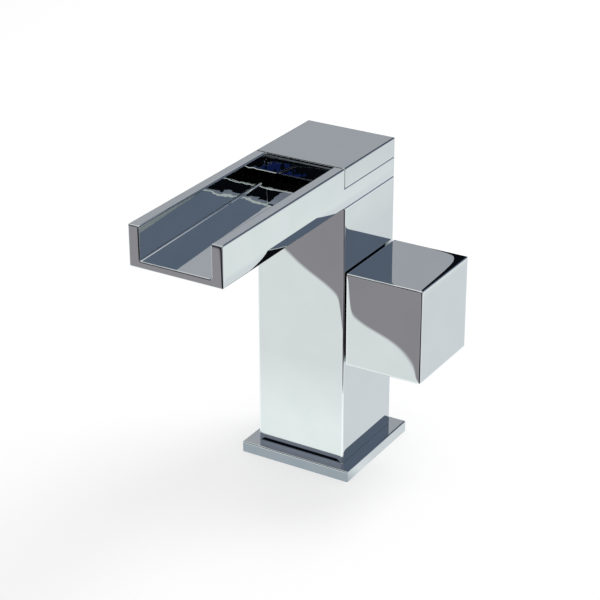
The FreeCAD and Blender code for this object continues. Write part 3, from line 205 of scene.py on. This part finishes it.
class TapChromeSettings(bpy.types.PropertyGroup):
    """Polished chrome plate on the tap's outside."""
    tint: colour("Tint", "Colour that the chrome gives to what it mirrors", (0.68, 0.71, 0.705))
    cloud: colour("Cloud", "The same in its faint clouds", (0.655, 0.695, 0.685))
    # Edge is a painted highlight: a brighter tint along the box edges, standing in for the light they
    # catch.
    edge: colour("Edge", "The same along the edges, which are polished brightest", (0.80, 0.82, 0.82))
    # Painted light: the spout gets a brighter copy of the same chrome.
    spout_painted_light: FloatProperty(name="Spout gain", description="How much brighter the spout's chrome is",
                              default=1.06, min=0.5, max=1.3)
    # Painted shade: the water chamber's inside is painted near-black, where shade falls in the recess.
    dull: colour("Dull", "Colour of the bare casting inside the water chamber", (0.004, 0.004, 0.004))
    haze: share("Haze", "Roughness of the cleanest chrome", 0.005)
    haze_spread: share("Haze spread", "How much rougher the dullest patches are", 0.02)
    haze_size: length("Haze size", "Width of the clouds and dull patches", 0.014)
    wave_size: length("Wave size", "Width of the polisher's waves", 0.05)
    wave_tilt: angle("Wave tilt", "How far a wave leans the surface", 0.15)


class TapInnerSettings(bpy.types.PropertyGroup):
    """Colours of the seals, the mouldings and the cartridge."""
    rubber: colour("Rubber", "Seals and O-rings", (0.03, 0.03, 0.03))
    # Partly painted shade: black plastic, darkened past its own colour so the comb in the water chamber
    # stays dark.
    black_plastic: colour("Black plastic", "Comb, stop ring and glide ring", (0.003, 0.003, 0.003))
    grey_plastic: colour("Grey plastic", "Screw cap, cartridge foot and driver", (0.35, 0.36, 0.38))
    white_plastic: colour("White plastic", "Cartridge housing", (0.82, 0.82, 0.79))
    ceramic: colour("Ceramic", "Cartridge discs", (0.88, 0.86, 0.8))
    brass: colour("Brass", "Nut, spindle and handle insert", (0.78, 0.6, 0.28))
    steel: colour("Steel", "Screws", (0.6, 0.6, 0.6))


class TapStageSettings(bpy.types.PropertyGroup):
    """Camera, floor, lamp and the studio that the chrome mirrors."""
    azimuth: angle("Azimuth", "Camera, from the front towards the handle's side", 30.958)
    elevation: angle("Elevation", "Camera, above the horizon", 25.265)
    roll: angle("Roll", "Camera, about its line of sight", -0.1)
    distance: length("Distance", "Camera to target", 0.781451)
    target: FloatVectorProperty(name="Target", description="Point that the camera looks at",
                                default=(-0.01217, 0.0, 0.062793), subtype="XYZ", unit="LENGTH",
                                size=3, precision=5)
    view_angle: angle("View angle", "Camera's field of view", 17.978)
    lamp_azimuth: angle("Lamp azimuth", "Lamp, from the front towards the handle's side", 150)
    lamp_elevation: angle("Lamp elevation", "Lamp, above the horizon", 55)
    lamp_distance: length("Lamp distance", "Lamp to the middle of the floor", 1.2)
    lamp_side: length("Lamp side", "Side of the lamp's square", 0.5)
    lamp_power: FloatProperty(name="Lamp power", description="The lamp's power", default=6.0, min=0.0,
                              unit="POWER")
    floor_side: length("Floor side", "Side of the pale floor", 6.0)
    floor_glow: share("Floor glow", "Share of the floor's white that needs no light", 0.6)
    paper_reach: length("Paper reach", "Edge of the white paper, from the tap's axis", 0.096)
    paper_turn: angle("Paper turn", "Direction that this edge faces, from the front", 35.5)
    paper_wave: length("Paper wave", "How far the edge waves to each side", 0.0024)
    paper_wave_length: length("Paper wave length", "From one crest of the wave to the next", 0.08)
    paper_wave_crest: length("Paper wave crest", "Where a crest lies along the edge", 0.087)
    paper: colour("Paper", "What the chrome mirrors in front of the tap", (0.95, 0.99, 0.99))
    paper_glare: FloatProperty(name="Paper glare", description="How much brighter it is close by",
                               default=1.18, min=1.0, max=2.0)
    # Paper behind is painted shade: the same white paper, mirrored dimmer behind the tap.
    paper_back: colour("Paper behind", "What it mirrors behind the tap", (0.84, 0.87, 0.91))
    paper_side: colour("Paper beside", "The same, far off on the handle's side", (0.92, 0.97, 0.97))
    paper_side_reach: length("Paper beside reach", "Where that begins, from the tap's axis", 0.145)
    shade: colour("Shade", "What it mirrors right in front of the plate", (0.45, 0.50, 0.56))
    shade_reach: length("Shade reach", "How far that shade goes", 0.0068)
    table: colour("Table", "What it mirrors just beyond the paper's edge", (0.345, 0.325, 0.355))
    table_reach: length("Table reach", "How far the table stays lit beyond the paper's edge", 0.118)
    table_far: colour("Far table", "What it mirrors further off", (0.006, 0.006, 0.008))
    table_end: length("Table end", "Where the dark ends, beyond the paper's edge", 0.25)
    beyond: colour("Beyond", "What it mirrors past that dark", (0.20, 0.20, 0.22))


# Node helpers ---------------------------------------------------------------------------------------

def new_material(name):
    """An empty node material, with its tree."""
    material = bpy.data.materials.new(name)
    material.use_nodes = True
    material.node_tree.nodes.clear()
    return material, material.node_tree


def add(tree, kind, inputs=(), **options):
    """A node with options set and its inputs set to values or linked from sockets."""
    node = tree.nodes.new(kind)
    for option, setting in options.items():
        setattr(node, option, setting)
    for socket, source in dict(inputs).items():
        if isinstance(source, bpy.types.NodeSocket):
            tree.links.new(source, node.inputs[socket])
        else:
            node.inputs[socket].default_value = source
    return node


def math_node(tree, operation, *terms):
    """Arithmetic on numbers."""
    return add(tree, "ShaderNodeMath", enumerate(terms), operation=operation).outputs[0]


def greatest(tree, first, *others):
    """The greatest of some numbers."""
    for other in others:
        first = math_node(tree, "MAXIMUM", first, other)
    return first


def vector_node(tree, operation, *terms, scale=None):
    """Arithmetic on vectors, part by part; scale is the factor of a SCALE."""
    inputs = dict(enumerate(terms))
    if scale is not None:
        inputs["Scale"] = scale
    return add(tree, "ShaderNodeVectorMath", inputs, operation=operation).outputs[0]


def dot(tree, first, second):
    """Dot product of two vectors, as a number."""
    node = add(tree, "ShaderNodeVectorMath", {0: first, 1: second}, operation="DOT_PRODUCT")
    return node.outputs["Value"]


def parts(tree, vector):
    """The X, Y and Z of a vector."""
    return add(tree, "ShaderNodeSeparateXYZ", {"Vector": vector}).outputs


def object_place(tree):
    """The point in the object's own space, in metres."""
    return add(tree, "ShaderNodeTexCoord").outputs["Object"]


def noise(tree, place, size, detail=2.0, output="Fac"):
    """Noise whose features are about size metres wide."""
    inputs = {"Vector": place, "Scale": 1.0 / size, "Detail": detail}
    return add(tree, "ShaderNodeTexNoise", inputs).outputs[output]


def remap(tree, number, low, high, start=0.0, end=1.0):
    """A number from start to end, as low to high, held at both ends."""
    inputs = {"Value": number, "From Min": start, "From Max": end, "To Min": low, "To Max": high}
    return add(tree, "ShaderNodeMapRange", inputs, clamp=True).outputs[0]


def rise(tree, number, start, end):
    """0 up to start, and 1 from end on."""
    return remap(tree, number, 0.0, 1.0, start, end)


def fall(tree, number, start, end):
    """1 up to start, and 0 from end on."""
    return remap(tree, number, 1.0, 0.0, start, end)


def mix_colour(tree, factor, first, second):
    """The first colour where the factor is 0, and the second where it is 1."""
    node = add(tree, "ShaderNodeMix", {"Factor": factor}, data_type="RGBA")
    for socket, source in ((node.inputs[6], first), (node.inputs[7], second)):
        if isinstance(source, bpy.types.NodeSocket):
            tree.links.new(source, socket)
        else:
            socket.default_value = (*source, 1.0)
    return node.outputs[2]


def surface(tree, shader):
    """End a material's tree with its surface."""
    add(tree, "ShaderNodeOutputMaterial", {"Surface": shader})


# Finishes -------------------------------------------------------------------------------------------

def sixth_power(tree, vector):
    """Each part of a vector to the power of six."""
    square = vector_node(tree, "MULTIPLY", vector, vector)
    return vector_node(tree, "MULTIPLY", vector_node(tree, "MULTIPLY", square, square), square)


def near_end(tree, inset, reach):
    """For each axis, 1 at an end of the piece and 0 from reach inwards, falling off fast."""
    near = vector_node(tree, "SUBTRACT", (1.0, 1.0, 1.0), vector_node(tree, "DIVIDE", inset, reach))
    return sixth_power(tree, vector_node(tree, "MAXIMUM", near, (0.0, 0.0, 0.0)))


def outward(tree, place, low, high):
    """1 where a face looks away from the middle of a box, 0 where it looks into it."""
    away = vector_node(tree, "SIGN", vector_node(tree, "SUBTRACT", place, (low + high) / 2))
    normal = add(tree, "ShaderNodeTexCoord").outputs["Normal"]
    return rise(tree, dot(tree, normal, away), -FACING_BLUR, FACING_BLUR)


def roll_over(tree, place, low, high, roll):
    """Lean of the outer faces near the ends of a box."""
    below = near_end(tree, vector_node(tree, "SUBTRACT", place, low), roll.low_reach)
    above = near_end(tree, vector_node(tree, "SUBTRACT", high, place), roll.high_reach)
    lean = vector_node(tree, "SCALE", vector_node(tree, "SUBTRACT", above, below),
                       scale=math.tan(math.radians(roll.tilt)))
    return vector_node(tree, "SCALE", lean, scale=outward(tree, place, low, high))


def waves(tree, place, size, tilt):
    """Gentle lean to and fro, about tilt radians at most, over waves of a size."""
    swell = noise(tree, place, size, detail=1.0, output="Color")
    wave = vector_node(tree, "SUBTRACT", swell, (0.5, 0.5, 0.5))
    return vector_node(tree, "SCALE", wave, scale=WAVE_SPAN * math.tan(tilt))


def leaned_normal(tree, leans):
    """The normal, leaned by the sum of some vectors of the object's own space."""
    total = leans[0]
    for lean in leans[1:]:
        total = vector_node(tree, "ADD", total, lean)
    turned = add(tree, "ShaderNodeVectorTransform", {"Vector": total}, vector_type="VECTOR",
                 convert_from="OBJECT", convert_to="WORLD").outputs[0]
    normal = add(tree, "ShaderNodeNewGeometry").outputs["Normal"]
    return vector_node(tree, "NORMALIZE", vector_node(tree, "ADD", normal, turned))


def edge_highlight_mask(tree, place, low, high):
    """1 along the twelve edges of a box, where the painted highlight goes, 0 elsewhere."""
    inset = vector_node(tree, "MINIMUM", vector_node(tree, "SUBTRACT", place, low),
                        vector_node(tree, "SUBTRACT", high, place))
    x, y, z = (fall(tree, part, *EDGE_HIGHLIGHT_STRIP) for part in parts(tree, inset))
    return greatest(tree, *(math_node(tree, "MULTIPLY", *pair) for pair in ((x, y), (y, z), (z, x))))


def inside(tree, place, low, high):
    """1 inside a box, 0 outside it."""
    offset = vector_node(tree, "ABSOLUTE", vector_node(tree, "SUBTRACT", place, (low + high) / 2))
    excess = vector_node(tree, "SUBTRACT", offset, (high - low) / 2)
    return fall(tree, greatest(tree, *parts(tree, excess)), -CHAMBER_SHADE_BLUR, 0.0)


def chrome(name, settings, low, high, roll, own_lean=None, gain=1.0, painted_edge_highlights=False, bare=None):
    """Polished chrome plate over a box from low to high.

    own_lean gives the lean that only this piece has, and bare the box of the water chamber, inside which
    the chrome is painted near-black as painted shade and made rougher. A gain above 1 makes the chrome
    brighter, as painted light.
    """
    material, tree = new_material(name)
    place = object_place(tree)
    patches = noise(tree, place, settings.haze_size, detail=4.0)
    # A gain above 1 gives a brighter copy of the chrome, as painted light.
    clean, cloudy = (tuple(part * gain for part in tint) for tint in (settings.tint, settings.cloud))
    tint = mix_colour(tree, rise(tree, patches, *CLOUD_NOISE), clean, cloudy)
    # Painted highlight: a brighter tint along the box edges.
    if painted_edge_highlights:
        tint = mix_colour(tree, edge_highlight_mask(tree, place, low, high), tint, settings.edge)
    roughness = remap(tree, patches, settings.haze, settings.haze + settings.haze_spread, *HAZE_NOISE)
    # Painted shade: inside the water chamber the chrome is near-black, and rougher.
    if bare:
        within = inside(tree, place, *bare)
        tint = mix_colour(tree, within, tint, settings.dull)
        rougher = math_node(tree, "MULTIPLY", within, CHAMBER_ROUGHNESS)
        roughness = math_node(tree, "ADD", roughness, rougher)
    leans = [roll_over(tree, place, low, high, roll),
             waves(tree, place, settings.wave_size, settings.wave_tilt)]
    if own_lean:
        leans.append(own_lean(tree, place))
    shader = add(tree, "ShaderNodeBsdfPrincipled", {
        "Base Color": tint,
        "Metallic": 1.0,
        "Roughness": roughness,
        "Normal": leaned_normal(tree, leans),
    })
    surface(tree, shader.outputs[0])
    return material


def shaded(tint, shade):
    """A colour with each part made darker."""
    return tuple(part * shade for part in tint)


def moulded(name, tint, kind):
    """Moulded rubber or plastic of some kind, with a fine grain and faint mottling."""
    material, tree = new_material(name)
    place = object_place(tree)
    mottle = noise(tree, place, MOTTLE_SIZE, detail=3.0)
    bump = add(tree, "ShaderNodeBump", {
        "Height": noise(tree, place, kind.grain_width),
        "Distance": kind.grain_depth,
        "Strength": GRAIN_STRENGTH,
    })
    smoothest, roughest = kind.roughness - MOTTLE_SWAY, kind.roughness + MOTTLE_SWAY
    shader = add(tree, "ShaderNodeBsdfPrincipled", {
        "Base Color": mix_colour(tree, mottle, shaded(tint, MOTTLE_SHADE), tint),
        "Roughness": remap(tree, mottle, smoothest, roughest, *GRAIN_NOISE),
        "Specular IOR Level": kind.shine,
        "Normal": bump.outputs[0],
    })
    surface(tree, shader.outputs[0])
    return material


def turned_metal(name, tint, roughness, axis):
    """Machined metal with fine tool marks round an axis, X or Z."""
    material, tree = new_material(name)
    place = object_place(tree)
    squeeze = tuple(1.0 if letter == axis else 1.0 / MARK_STRETCH for letter in "XYZ")
    marks = noise(tree, vector_node(tree, "MULTIPLY", place, squeeze), MARK_SIZE)
    stain = noise(tree, place, STAIN_SIZE, detail=3.0)
    bump = add(tree, "ShaderNodeBump", {"Height": marks, "Distance": MARK_DEPTH, "Strength": MARK_STRENGTH})
    shader = add(tree, "ShaderNodeBsdfPrincipled", {
        "Base Color": mix_colour(tree, stain, shaded(tint, STAIN_SHADE), tint),
        "Metallic": 1.0,
        "Roughness": remap(tree, marks, roughness - MARK_SWAY, roughness + MARK_SWAY, *GRAIN_NOISE),
        "Normal": bump.outputs[0],
    })
    surface(tree, shader.outputs[0])
    return material


def fired_ceramic(name, tint):
    """Lapped alumina: smooth, dense and faintly speckled."""
    material, tree = new_material(name)
    speckle = noise(tree, object_place(tree), SPECKLE_SIZE, detail=4.0)
    shader = add(tree, "ShaderNodeBsdfPrincipled", {
        "Base Color": mix_colour(tree, speckle, shaded(tint, SPECKLE_SHADE), tint),
        "Roughness": remap(tree, speckle, *CERAMIC_ROUGHNESS, *GRAIN_NOISE),
    })
    surface(tree, shader.outputs[0])
    return material


def give(material, *names):
    """Give CAD nodes a material."""
    for name in names:
        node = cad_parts[name]
        node.data.materials.clear()
        node.data.materials.append(material)


# Leans of single pieces -----------------------------------------------------------------------------

def upright_lean(tree, slope):
    """A lean up, or down where the slope is negative."""
    return add(tree, "ShaderNodeCombineXYZ", {"Z": slope}).outputs[0]


def plate_draft(tree, place):
    """The plate's sides lean in towards their foot."""
    return upright_lean(tree, -math.tan(math.radians(PLATE_DRAFT)))


def foot_flare(low, high, foot):
    """The column's faces flare out at the foot, less towards its upright edges."""
    def lean(tree, place):
        offset = vector_node(tree, "ABSOLUTE", vector_node(tree, "SUBTRACT", place, (low + high) / 2))
        inset = parts(tree, vector_node(tree, "SUBTRACT", (high - low) / 2, offset))
        clear = rise(tree, greatest(tree, inset["X"], inset["Y"]), 0.0, FOOT_FADE)
        low_down = fall(tree, parts(tree, place)["Z"], foot, foot + FOOT_HEIGHT)
        slope = math_node(tree, "MULTIPLY", clear, low_down)
        return upright_lean(tree, math_node(tree, "MULTIPLY", slope, math.tan(math.radians(FOOT_FLARE))))
    return lean


def cover_face(low, high):
    """The cover's front face leans back at its top, and has a lip along its foot."""
    def lean(tree, place):
        _, along, height = parts(tree, place)
        stops = [(low.z + (high.z - low.z) * level, slope) for level, slope in COVER_FACE]
        slope = stops[0][1]
        for (start, before), (end, after) in zip(stops, stops[1:]):
            slope = math_node(tree, "ADD", slope, remap(tree, height, 0.0, after - before, start, end))
        front = fall(tree, along, low.y + COVER_FACE_DEPTH / 2, low.y + COVER_FACE_DEPTH)
        return upright_lean(tree, math_node(tree, "MULTIPLY", slope, front))
    return lean


def channel_ripple(low, high, cover_front):
    """The channel's inner faces ripple near the cover."""
    def lean(tree, place):
        far, close = (cover_front - reach for reach in RIPPLE_REACH)
        rippled = math_node(tree, "SUBTRACT", 1.0, outward(tree, place, low, high))
        rippled = math_node(tree, "MULTIPLY", rippled, rise(tree, parts(tree, place)["Y"], far, close))
        return vector_node(tree, "SCALE", waves(tree, place, RIPPLE_SIZE, math.radians(RIPPLE_TILT)),
                           scale=rippled)
    return lean


# Pieces ---------------------------------------------------------------------------------------------

def water_chamber():
    """Low and high corner of the chamber behind the weir, out to its walls."""
    low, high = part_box("cover_gasket")
    return Vector((low.x, low.y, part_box("spout")[0].z)), high


class TapOperator(bpy.types.Operator):
    """Shared settings of the tap's operators."""
    bl_options = {"REGISTER", "UNDO"}


class TAP_OT_column(TapOperator):
    """Chrome the column and its base plate"""
    bl_idname = "tap.column"
    bl_label = "Column and Base Plate"

    def execute(self, context):
        settings = context.scene.tap_chrome
        plate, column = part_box("base_plate"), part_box("column")
        give(chrome("plate_chrome", settings, *plate, PLATE_ROLL, own_lean=plate_draft), "base_plate")
        give(chrome("column_chrome", settings, *column, COLUMN_ROLL, painted_edge_highlights=True,
                    own_lean=foot_flare(*column, plate[1].z)), "column")
        return {"FINISHED"}


class TAP_OT_spout(TapOperator):
    """Chrome the channel spout and the cover block"""
    bl_idname = "tap.spout"
    bl_label = "Spout and Cover"

    def execute(self, context):
        settings = context.scene.tap_chrome
        spout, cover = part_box("spout"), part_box("spout_cover")
        give(chrome("spout_chrome", settings, *spout, SPOUT_ROLL, gain=settings.spout_painted_light,
                    own_lean=channel_ripple(*spout, cover[0].y), bare=water_chamber()), "spout")
        give(chrome("cover_chrome", settings, *cover, COVER_ROLL, own_lean=cover_face(*cover)),
             "spout_cover")
        return {"FINISHED"}


class TAP_OT_handle(TapOperator):
    """Chrome the cube handle, and give its screw cap a plain grey plastic"""
    bl_idname = "tap.handle"
    bl_label = "Cube Handle"

    def execute(self, context):
        settings = context.scene.tap_chrome
        give(chrome("handle_chrome", settings, *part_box("handle_cube"), HANDLE_ROLL, painted_edge_highlights=True),
             "handle_cube")
        grey = context.scene.tap_inner.grey_plastic
        give(moulded("cap_plastic", grey, CAP_PLASTIC), "screw_cap")
        return {"FINISHED"}


class TAP_OT_seals(TapOperator):
    """Give the seals and O-rings matt black rubber"""
    bl_idname = "tap.seals"
    bl_label = "Seals"

    def execute(self, context):
        rubber = moulded("seal_rubber", context.scene.tap_inner.rubber, RUBBER)
        give(rubber, "foot_seal", "plate_ring", "riser_ring", "cover_gasket", "base_ring", "port_seals",
             "spindle_ring")
        return {"FINISHED"}


class TAP_OT_plastics(TapOperator):
    """Give the comb, the two rings and the cartridge's mouldings their plastics"""
    bl_idname = "tap.plastics"
    bl_label = "Plastic Mouldings"

    def execute(self, context):
        settings = context.scene.tap_inner
        # The black plastic is darkened past its own colour, as painted shade on the comb inside the water
        # chamber.
        black = moulded("black_plastic", settings.black_plastic, BLACK_PLASTIC)
        grey = moulded("grey_plastic", settings.grey_plastic, GREY_PLASTIC)
        white = moulded("white_plastic", settings.white_plastic, WHITE_PLASTIC)
        give(black, "flow_diffuser", "stop_ring", "glide_ring")
        give(grey, "cartridge_base", "disc_carrier")
        give(white, "cartridge_housing")
        return {"FINISHED"}


class TAP_OT_discs(TapOperator):
    """Give the two discs fired ceramic"""
    bl_idname = "tap.discs"
    bl_label = "Ceramic Discs"

    def execute(self, context):
        give(fired_ceramic("fired_ceramic", context.scene.tap_inner.ceramic), "fixed_disc", "moving_disc")
        return {"FINISHED"}


class TAP_OT_metalwork(TapOperator):
    """Give the inner metal pieces turned brass, and the screws stainless steel"""
    bl_idname = "tap.metalwork"
    bl_label = "Brass and Steel"

    def execute(self, context):
        settings = context.scene.tap_inner
        brass = turned_metal("machined_brass", settings.brass, BRASS_ROUGHNESS, "X")
        steel = turned_metal("stainless_steel", settings.steel, STEEL_ROUGHNESS, "Z")
        give(brass, "cartridge_nut", "spindle", "handle_insert")
        give(steel, "cover_screws", "spout_screws", "set_screw")
        return {"FINISHED"}


# Stage ----------------------------------------------------------------------------------------------

def direction(azimuth, elevation):
    """Unit vector; azimuth is from the front (-Y) towards the handle's side (+X), in radians."""
    level = math.cos(elevation)
    return Vector((math.sin(azimuth) * level, -math.cos(azimuth) * level, math.sin(elevation)))


def new_object(name, vertices, faces, material):
    """A mesh object with one material."""
    mesh = bpy.data.meshes.new(name)
    mesh.from_pydata(vertices, [], faces)
    mesh.materials.append(material)
    item = bpy.data.objects.new(name, mesh)
    bpy.context.scene.collection.objects.link(item)
    return item


def mirrored_only(item):
    """Only mirrored rays see this card."""
    item.visible_camera = False
    item.visible_diffuse = False
    item.visible_shadow = False
    item.visible_transmission = False
    item.visible_volume_scatter = False


def steps(edges):
    """Angles in radians from one edge to the other, about CARD_STEP apart; the edges are in degrees."""
    start, end = (math.radians(edge) for edge in edges)
    count = math.ceil((end - start) / CARD_STEP)
    return [start + (end - start) * step / count for step in range(count + 1)]


def make_card(card):
    """A plain card far off, bent round the tap."""
    azimuths, elevations = steps(card.azimuths), steps(card.elevations)
    vertices = [direction(azimuth, elevation) * CARD_DISTANCE
                for elevation in elevations for azimuth in azimuths]
    width = len(azimuths)
    faces = [(first, first + 1, first + width + 1, first + width)
             for row in range(len(elevations) - 1)
             for first in range(row * width, (row + 1) * width - 1)]
    material, tree = new_material(card.name)
    surface(tree, add(tree, "ShaderNodeEmission", {"Color": (*card.tint, 1.0)}).outputs[0])
    mirrored_only(new_object(card.name, vertices, faces, material))


def make_dome():
    """The studio above the horizon, which only the chrome sees: slate walls and a white ceiling."""
    material, tree = new_material("studio_dome")
    height = parts(tree, vector_node(tree, "NORMALIZE", object_place(tree)))["Z"]
    wall = mix_colour(tree, rise(tree, height, *WALL_HEIGHTS), WALL_FOOT, WALL_HEAD)
    whole = mix_colour(tree, rise(tree, height, *CEILING_HEIGHTS), wall, CEILING)
    surface(tree, add(tree, "ShaderNodeEmission", {"Color": whole}).outputs[0])
    vertices = [direction(side / DOME_SIDES * math.tau, ring / DOME_RINGS * DOME_TOP) * DOME_DISTANCE
                for ring in range(DOME_RINGS + 1) for side in range(DOME_SIDES)]
    corners = [(side, (side + 1) % DOME_SIDES) for side in range(DOME_SIDES)]
    faces = [(first + here, first + there, first + DOME_SIDES + there, first + DOME_SIDES + here)
             for first in range(0, DOME_RINGS * DOME_SIDES, DOME_SIDES) for here, there in corners]
    faces.append(tuple(range(DOME_RINGS * DOME_SIDES, (DOME_RINGS + 1) * DOME_SIDES)))
    mirrored_only(new_object("studio_dome", vertices, faces, material))


def mirrored_paper(tree, settings, place):
    """The white paper round the tap, as the chrome mirrors it."""
    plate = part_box("base_plate")[1]
    across, along, _ = parts(tree, place)
    # Behind the tap the white paper is mirrored dimmer, as painted shade; far off on the handle's side less
    # so.
    beside = rise(tree, across, settings.paper_side_reach - BESIDE_BLUR,
                  settings.paper_side_reach + BESIDE_BLUR)
    beside = math_node(tree, "MULTIPLY", beside, fall(tree, along, *BESIDE_BACK))
    back = mix_colour(tree, beside, settings.paper_back, settings.paper_side)

    glare = tuple(part * settings.paper_glare for part in settings.paper)
    full, gone = (-plate.y * reach for reach in GLARE_REACH)
    front = mix_colour(tree, rise(tree, along, gone, full), settings.paper, glare)
    paper = mix_colour(tree, rise(tree, along, -plate.y * FRONT_REACH, 0.0), front, back)

    outside = parts(tree, vector_node(tree, "SUBTRACT", vector_node(tree, "ABSOLUTE", place), plate))
    near = fall(tree, greatest(tree, outside["X"], outside["Y"]), settings.shade_reach - SHADE_BLUR,
                settings.shade_reach + SHADE_BLUR)
    begins, full = (-plate.y * reach for reach in SHADE_START)
    shade = math_node(tree, "MULTIPLY", near, fall(tree, along, full, begins))
    return mix_colour(tree, shade, paper, settings.shade)


def mirrored_table(tree, settings, past, edgewise):
    """The table beyond the paper: lit, then dark in front of the tap, then dim.

    past is how far a point lies beyond the paper's edge, and edgewise how far along that edge.
    """
    dark = rise(tree, past, settings.table_reach - TABLE_BLUR, settings.table_reach + TABLE_BLUR)
    dark = greatest(tree, dark, rise(tree, edgewise, *DARK_ALONG))
    dark = math_node(tree, "MULTIPLY", dark, fall(tree, edgewise, *LIT_ALONG))
    ended = rise(tree, past, settings.table_end, (1 + TABLE_END_FADE) * settings.table_end)
    far = mix_colour(tree, ended, settings.table_far, settings.beyond)
    return mix_colour(tree, dark, settings.table, far)


def floor_tint(tree, settings):
    """White for the camera; in the chrome, white paper that ends in front, and a dim table beyond."""
    place = object_place(tree)
    ahead = dot(tree, place, direction(settings.paper_turn, 0.0))
    edgewise = dot(tree, place, direction(settings.paper_turn + math.pi / 2, 0.0))
    turns = math_node(tree, "MULTIPLY", math_node(tree, "ADD", edgewise, settings.paper_wave_crest),
                      math.tau / settings.paper_wave_length)
    wave = math_node(tree, "MULTIPLY", math_node(tree, "COSINE", turns), rise(tree, edgewise, *WAVE_ALONG))
    reach = math_node(tree, "MULTIPLY_ADD", wave, settings.paper_wave, settings.paper_reach)
    past = math_node(tree, "SUBTRACT", ahead, reach)
    ground = mix_colour(tree, rise(tree, past, *PAPER_BLUR), mirrored_paper(tree, settings, place),
                        mirrored_table(tree, settings, past, edgewise))
    mirrored = add(tree, "ShaderNodeLightPath").outputs["Is Glossy Ray"]
    return mix_colour(tree, mirrored, (1.0, 1.0, 1.0), ground)


def seen_rays(tree):
    """The light path's outputs, and 1 for rays that show what they meet: camera, glossy, transmission."""
    path = add(tree, "ShaderNodeLightPath").outputs
    kinds = ("Is Camera Ray", "Is Glossy Ray", "Is Transmission Ray")
    return path, greatest(tree, *(path[kind] for kind in kinds))


def make_floor(settings):
    """White floor that keeps the tap's soft shadow. Mirrored rays see only its glow."""
    material, tree = new_material("floor_white")
    path, seen = seen_rays(tree)
    tint = floor_tint(tree, settings)
    paper = add(tree, "ShaderNodeBsdfDiffuse", {"Color": tint}).outputs[0]
    glow = add(tree, "ShaderNodeEmission", {"Color": tint}).outputs[0]
    glowing = math_node(tree, "MULTIPLY", seen, settings.floor_glow)
    glowing = greatest(tree, glowing, path["Is Glossy Ray"])
    surface(tree, add(tree, "ShaderNodeMixShader", {0: glowing, 1: paper, 2: glow}).outputs[0])
    half = settings.floor_side / 2
    corners = [(-half, -half, 0.0), (half, -half, 0.0), (half, half, 0.0), (-half, half, 0.0)]
    new_object("floor", corners, [(0, 1, 2, 3)], material)


def make_world():
    """White all round for what is seen or mirrored, and a plain level of light."""
    world = bpy.data.worlds.new("studio_world")
    bpy.context.scene.world = world
    world.use_nodes = True
    tree = world.node_tree
    tree.nodes.clear()
    _, seen = seen_rays(tree)
    strength = remap(tree, seen, WORLD_LIGHT, 1.0)
    light = add(tree, "ShaderNodeBackground", {"Color": (1.0, 1.0, 1.0, 1.0), "Strength": strength})
    add(tree, "ShaderNodeOutputWorld", {"Surface": light.outputs[0]})


def make_lamp(settings):
    """A square soft lamp aimed at the tap; mirrored rays don't see it."""
    data = bpy.data.lights.new("key_lamp", "AREA")
    data.shape = "SQUARE"
    data.size = settings.lamp_side
    data.energy = settings.lamp_power
    lamp = bpy.data.objects.new("key_lamp", data)
    bpy.context.scene.collection.objects.link(lamp)
    towards = direction(settings.lamp_azimuth, settings.lamp_elevation)
    lamp.location = towards * settings.lamp_distance
    lamp.rotation_mode = "QUATERNION"
    lamp.rotation_quaternion = (-towards).to_track_quat("-Z", "Y")
    lamp.visible_glossy = False


def make_camera(settings):
    """The camera at the photograph's angle."""
    data = bpy.data.cameras.new("camera")
    data.angle = settings.view_angle
    camera = bpy.data.objects.new("camera", data)
    bpy.context.scene.collection.objects.link(camera)
    towards = direction(settings.azimuth, settings.elevation)
    turn = (-towards).to_track_quat("-Z", "Y").to_matrix().to_4x4()
    roll = Matrix.Rotation(settings.roll, 4, "Z")
    place = Matrix.Translation(Vector(settings.target) + towards * settings.distance)
    camera.matrix_world = place @ turn @ roll
    bpy.context.scene.camera = camera


class TAP_OT_stage(TapOperator):
    """Add the floor, the studio that the chrome mirrors, the lamp and the camera"""
    bl_idname = "tap.stage"
    bl_label = "Studio"

    def execute(self, context):
        settings = context.scene.tap_stage
        context.scene.view_settings.view_transform = "Standard"
        make_world()
        make_floor(settings)
        make_dome()
        for card in STUDIO_CARDS:
            make_card(card)
        make_lamp(settings)
        make_camera(settings)
        return {"FINISHED"}


# Panel and registration -----------------------------------------------------------------------------

OPERATORS = (TAP_OT_column, TAP_OT_spout, TAP_OT_handle, TAP_OT_seals, TAP_OT_plastics, TAP_OT_discs,
             TAP_OT_metalwork, TAP_OT_stage)


class TAP_PT_panel(bpy.types.Panel):
    """The tap's pieces and settings, in the 3D view's sidebar."""
    bl_idname = "TAP_PT_panel"
    bl_label = "Basin Tap"
    bl_space_type = "VIEW_3D"
    bl_region_type = "UI"
    bl_category = "Basin Tap"

    def draw(self, context):
        scene = context.scene
        for operator in OPERATORS:
            self.layout.operator(operator.bl_idname)
        for settings in (scene.tap_chrome, scene.tap_inner, scene.tap_stage):
            box = self.layout.box()
            for name in settings.bl_rna.properties.keys():
                if name not in ("rna_type", "name"):
                    box.prop(settings, name)


CLASSES = (TapChromeSettings, TapInnerSettings, TapStageSettings, *OPERATORS, TAP_PT_panel)


def register():
    """Make Blender know the settings, the operators and the panel."""
    for item in CLASSES:
        bpy.utils.register_class(item)
    bpy.types.Scene.tap_chrome = PointerProperty(type=TapChromeSettings)
    bpy.types.Scene.tap_inner = PointerProperty(type=TapInnerSettings)
    bpy.types.Scene.tap_stage = PointerProperty(type=TapStageSettings)


def unregister():
    """Undo register."""
    del bpy.types.Scene.tap_stage
    del bpy.types.Scene.tap_inner
    del bpy.types.Scene.tap_chrome
    for item in reversed(CLASSES):
        bpy.utils.unregister_class(item)


def main():
    """Finish the tap piece by piece and set up the studio."""
    register()
    bpy.ops.tap.column()
    bpy.ops.tap.spout()
    bpy.ops.tap.handle()
    bpy.ops.tap.seals()
    bpy.ops.tap.plastics()
    bpy.ops.tap.discs()
    bpy.ops.tap.metalwork()
    bpy.ops.tap.stage()


if __name__ == "__main__":
    main()
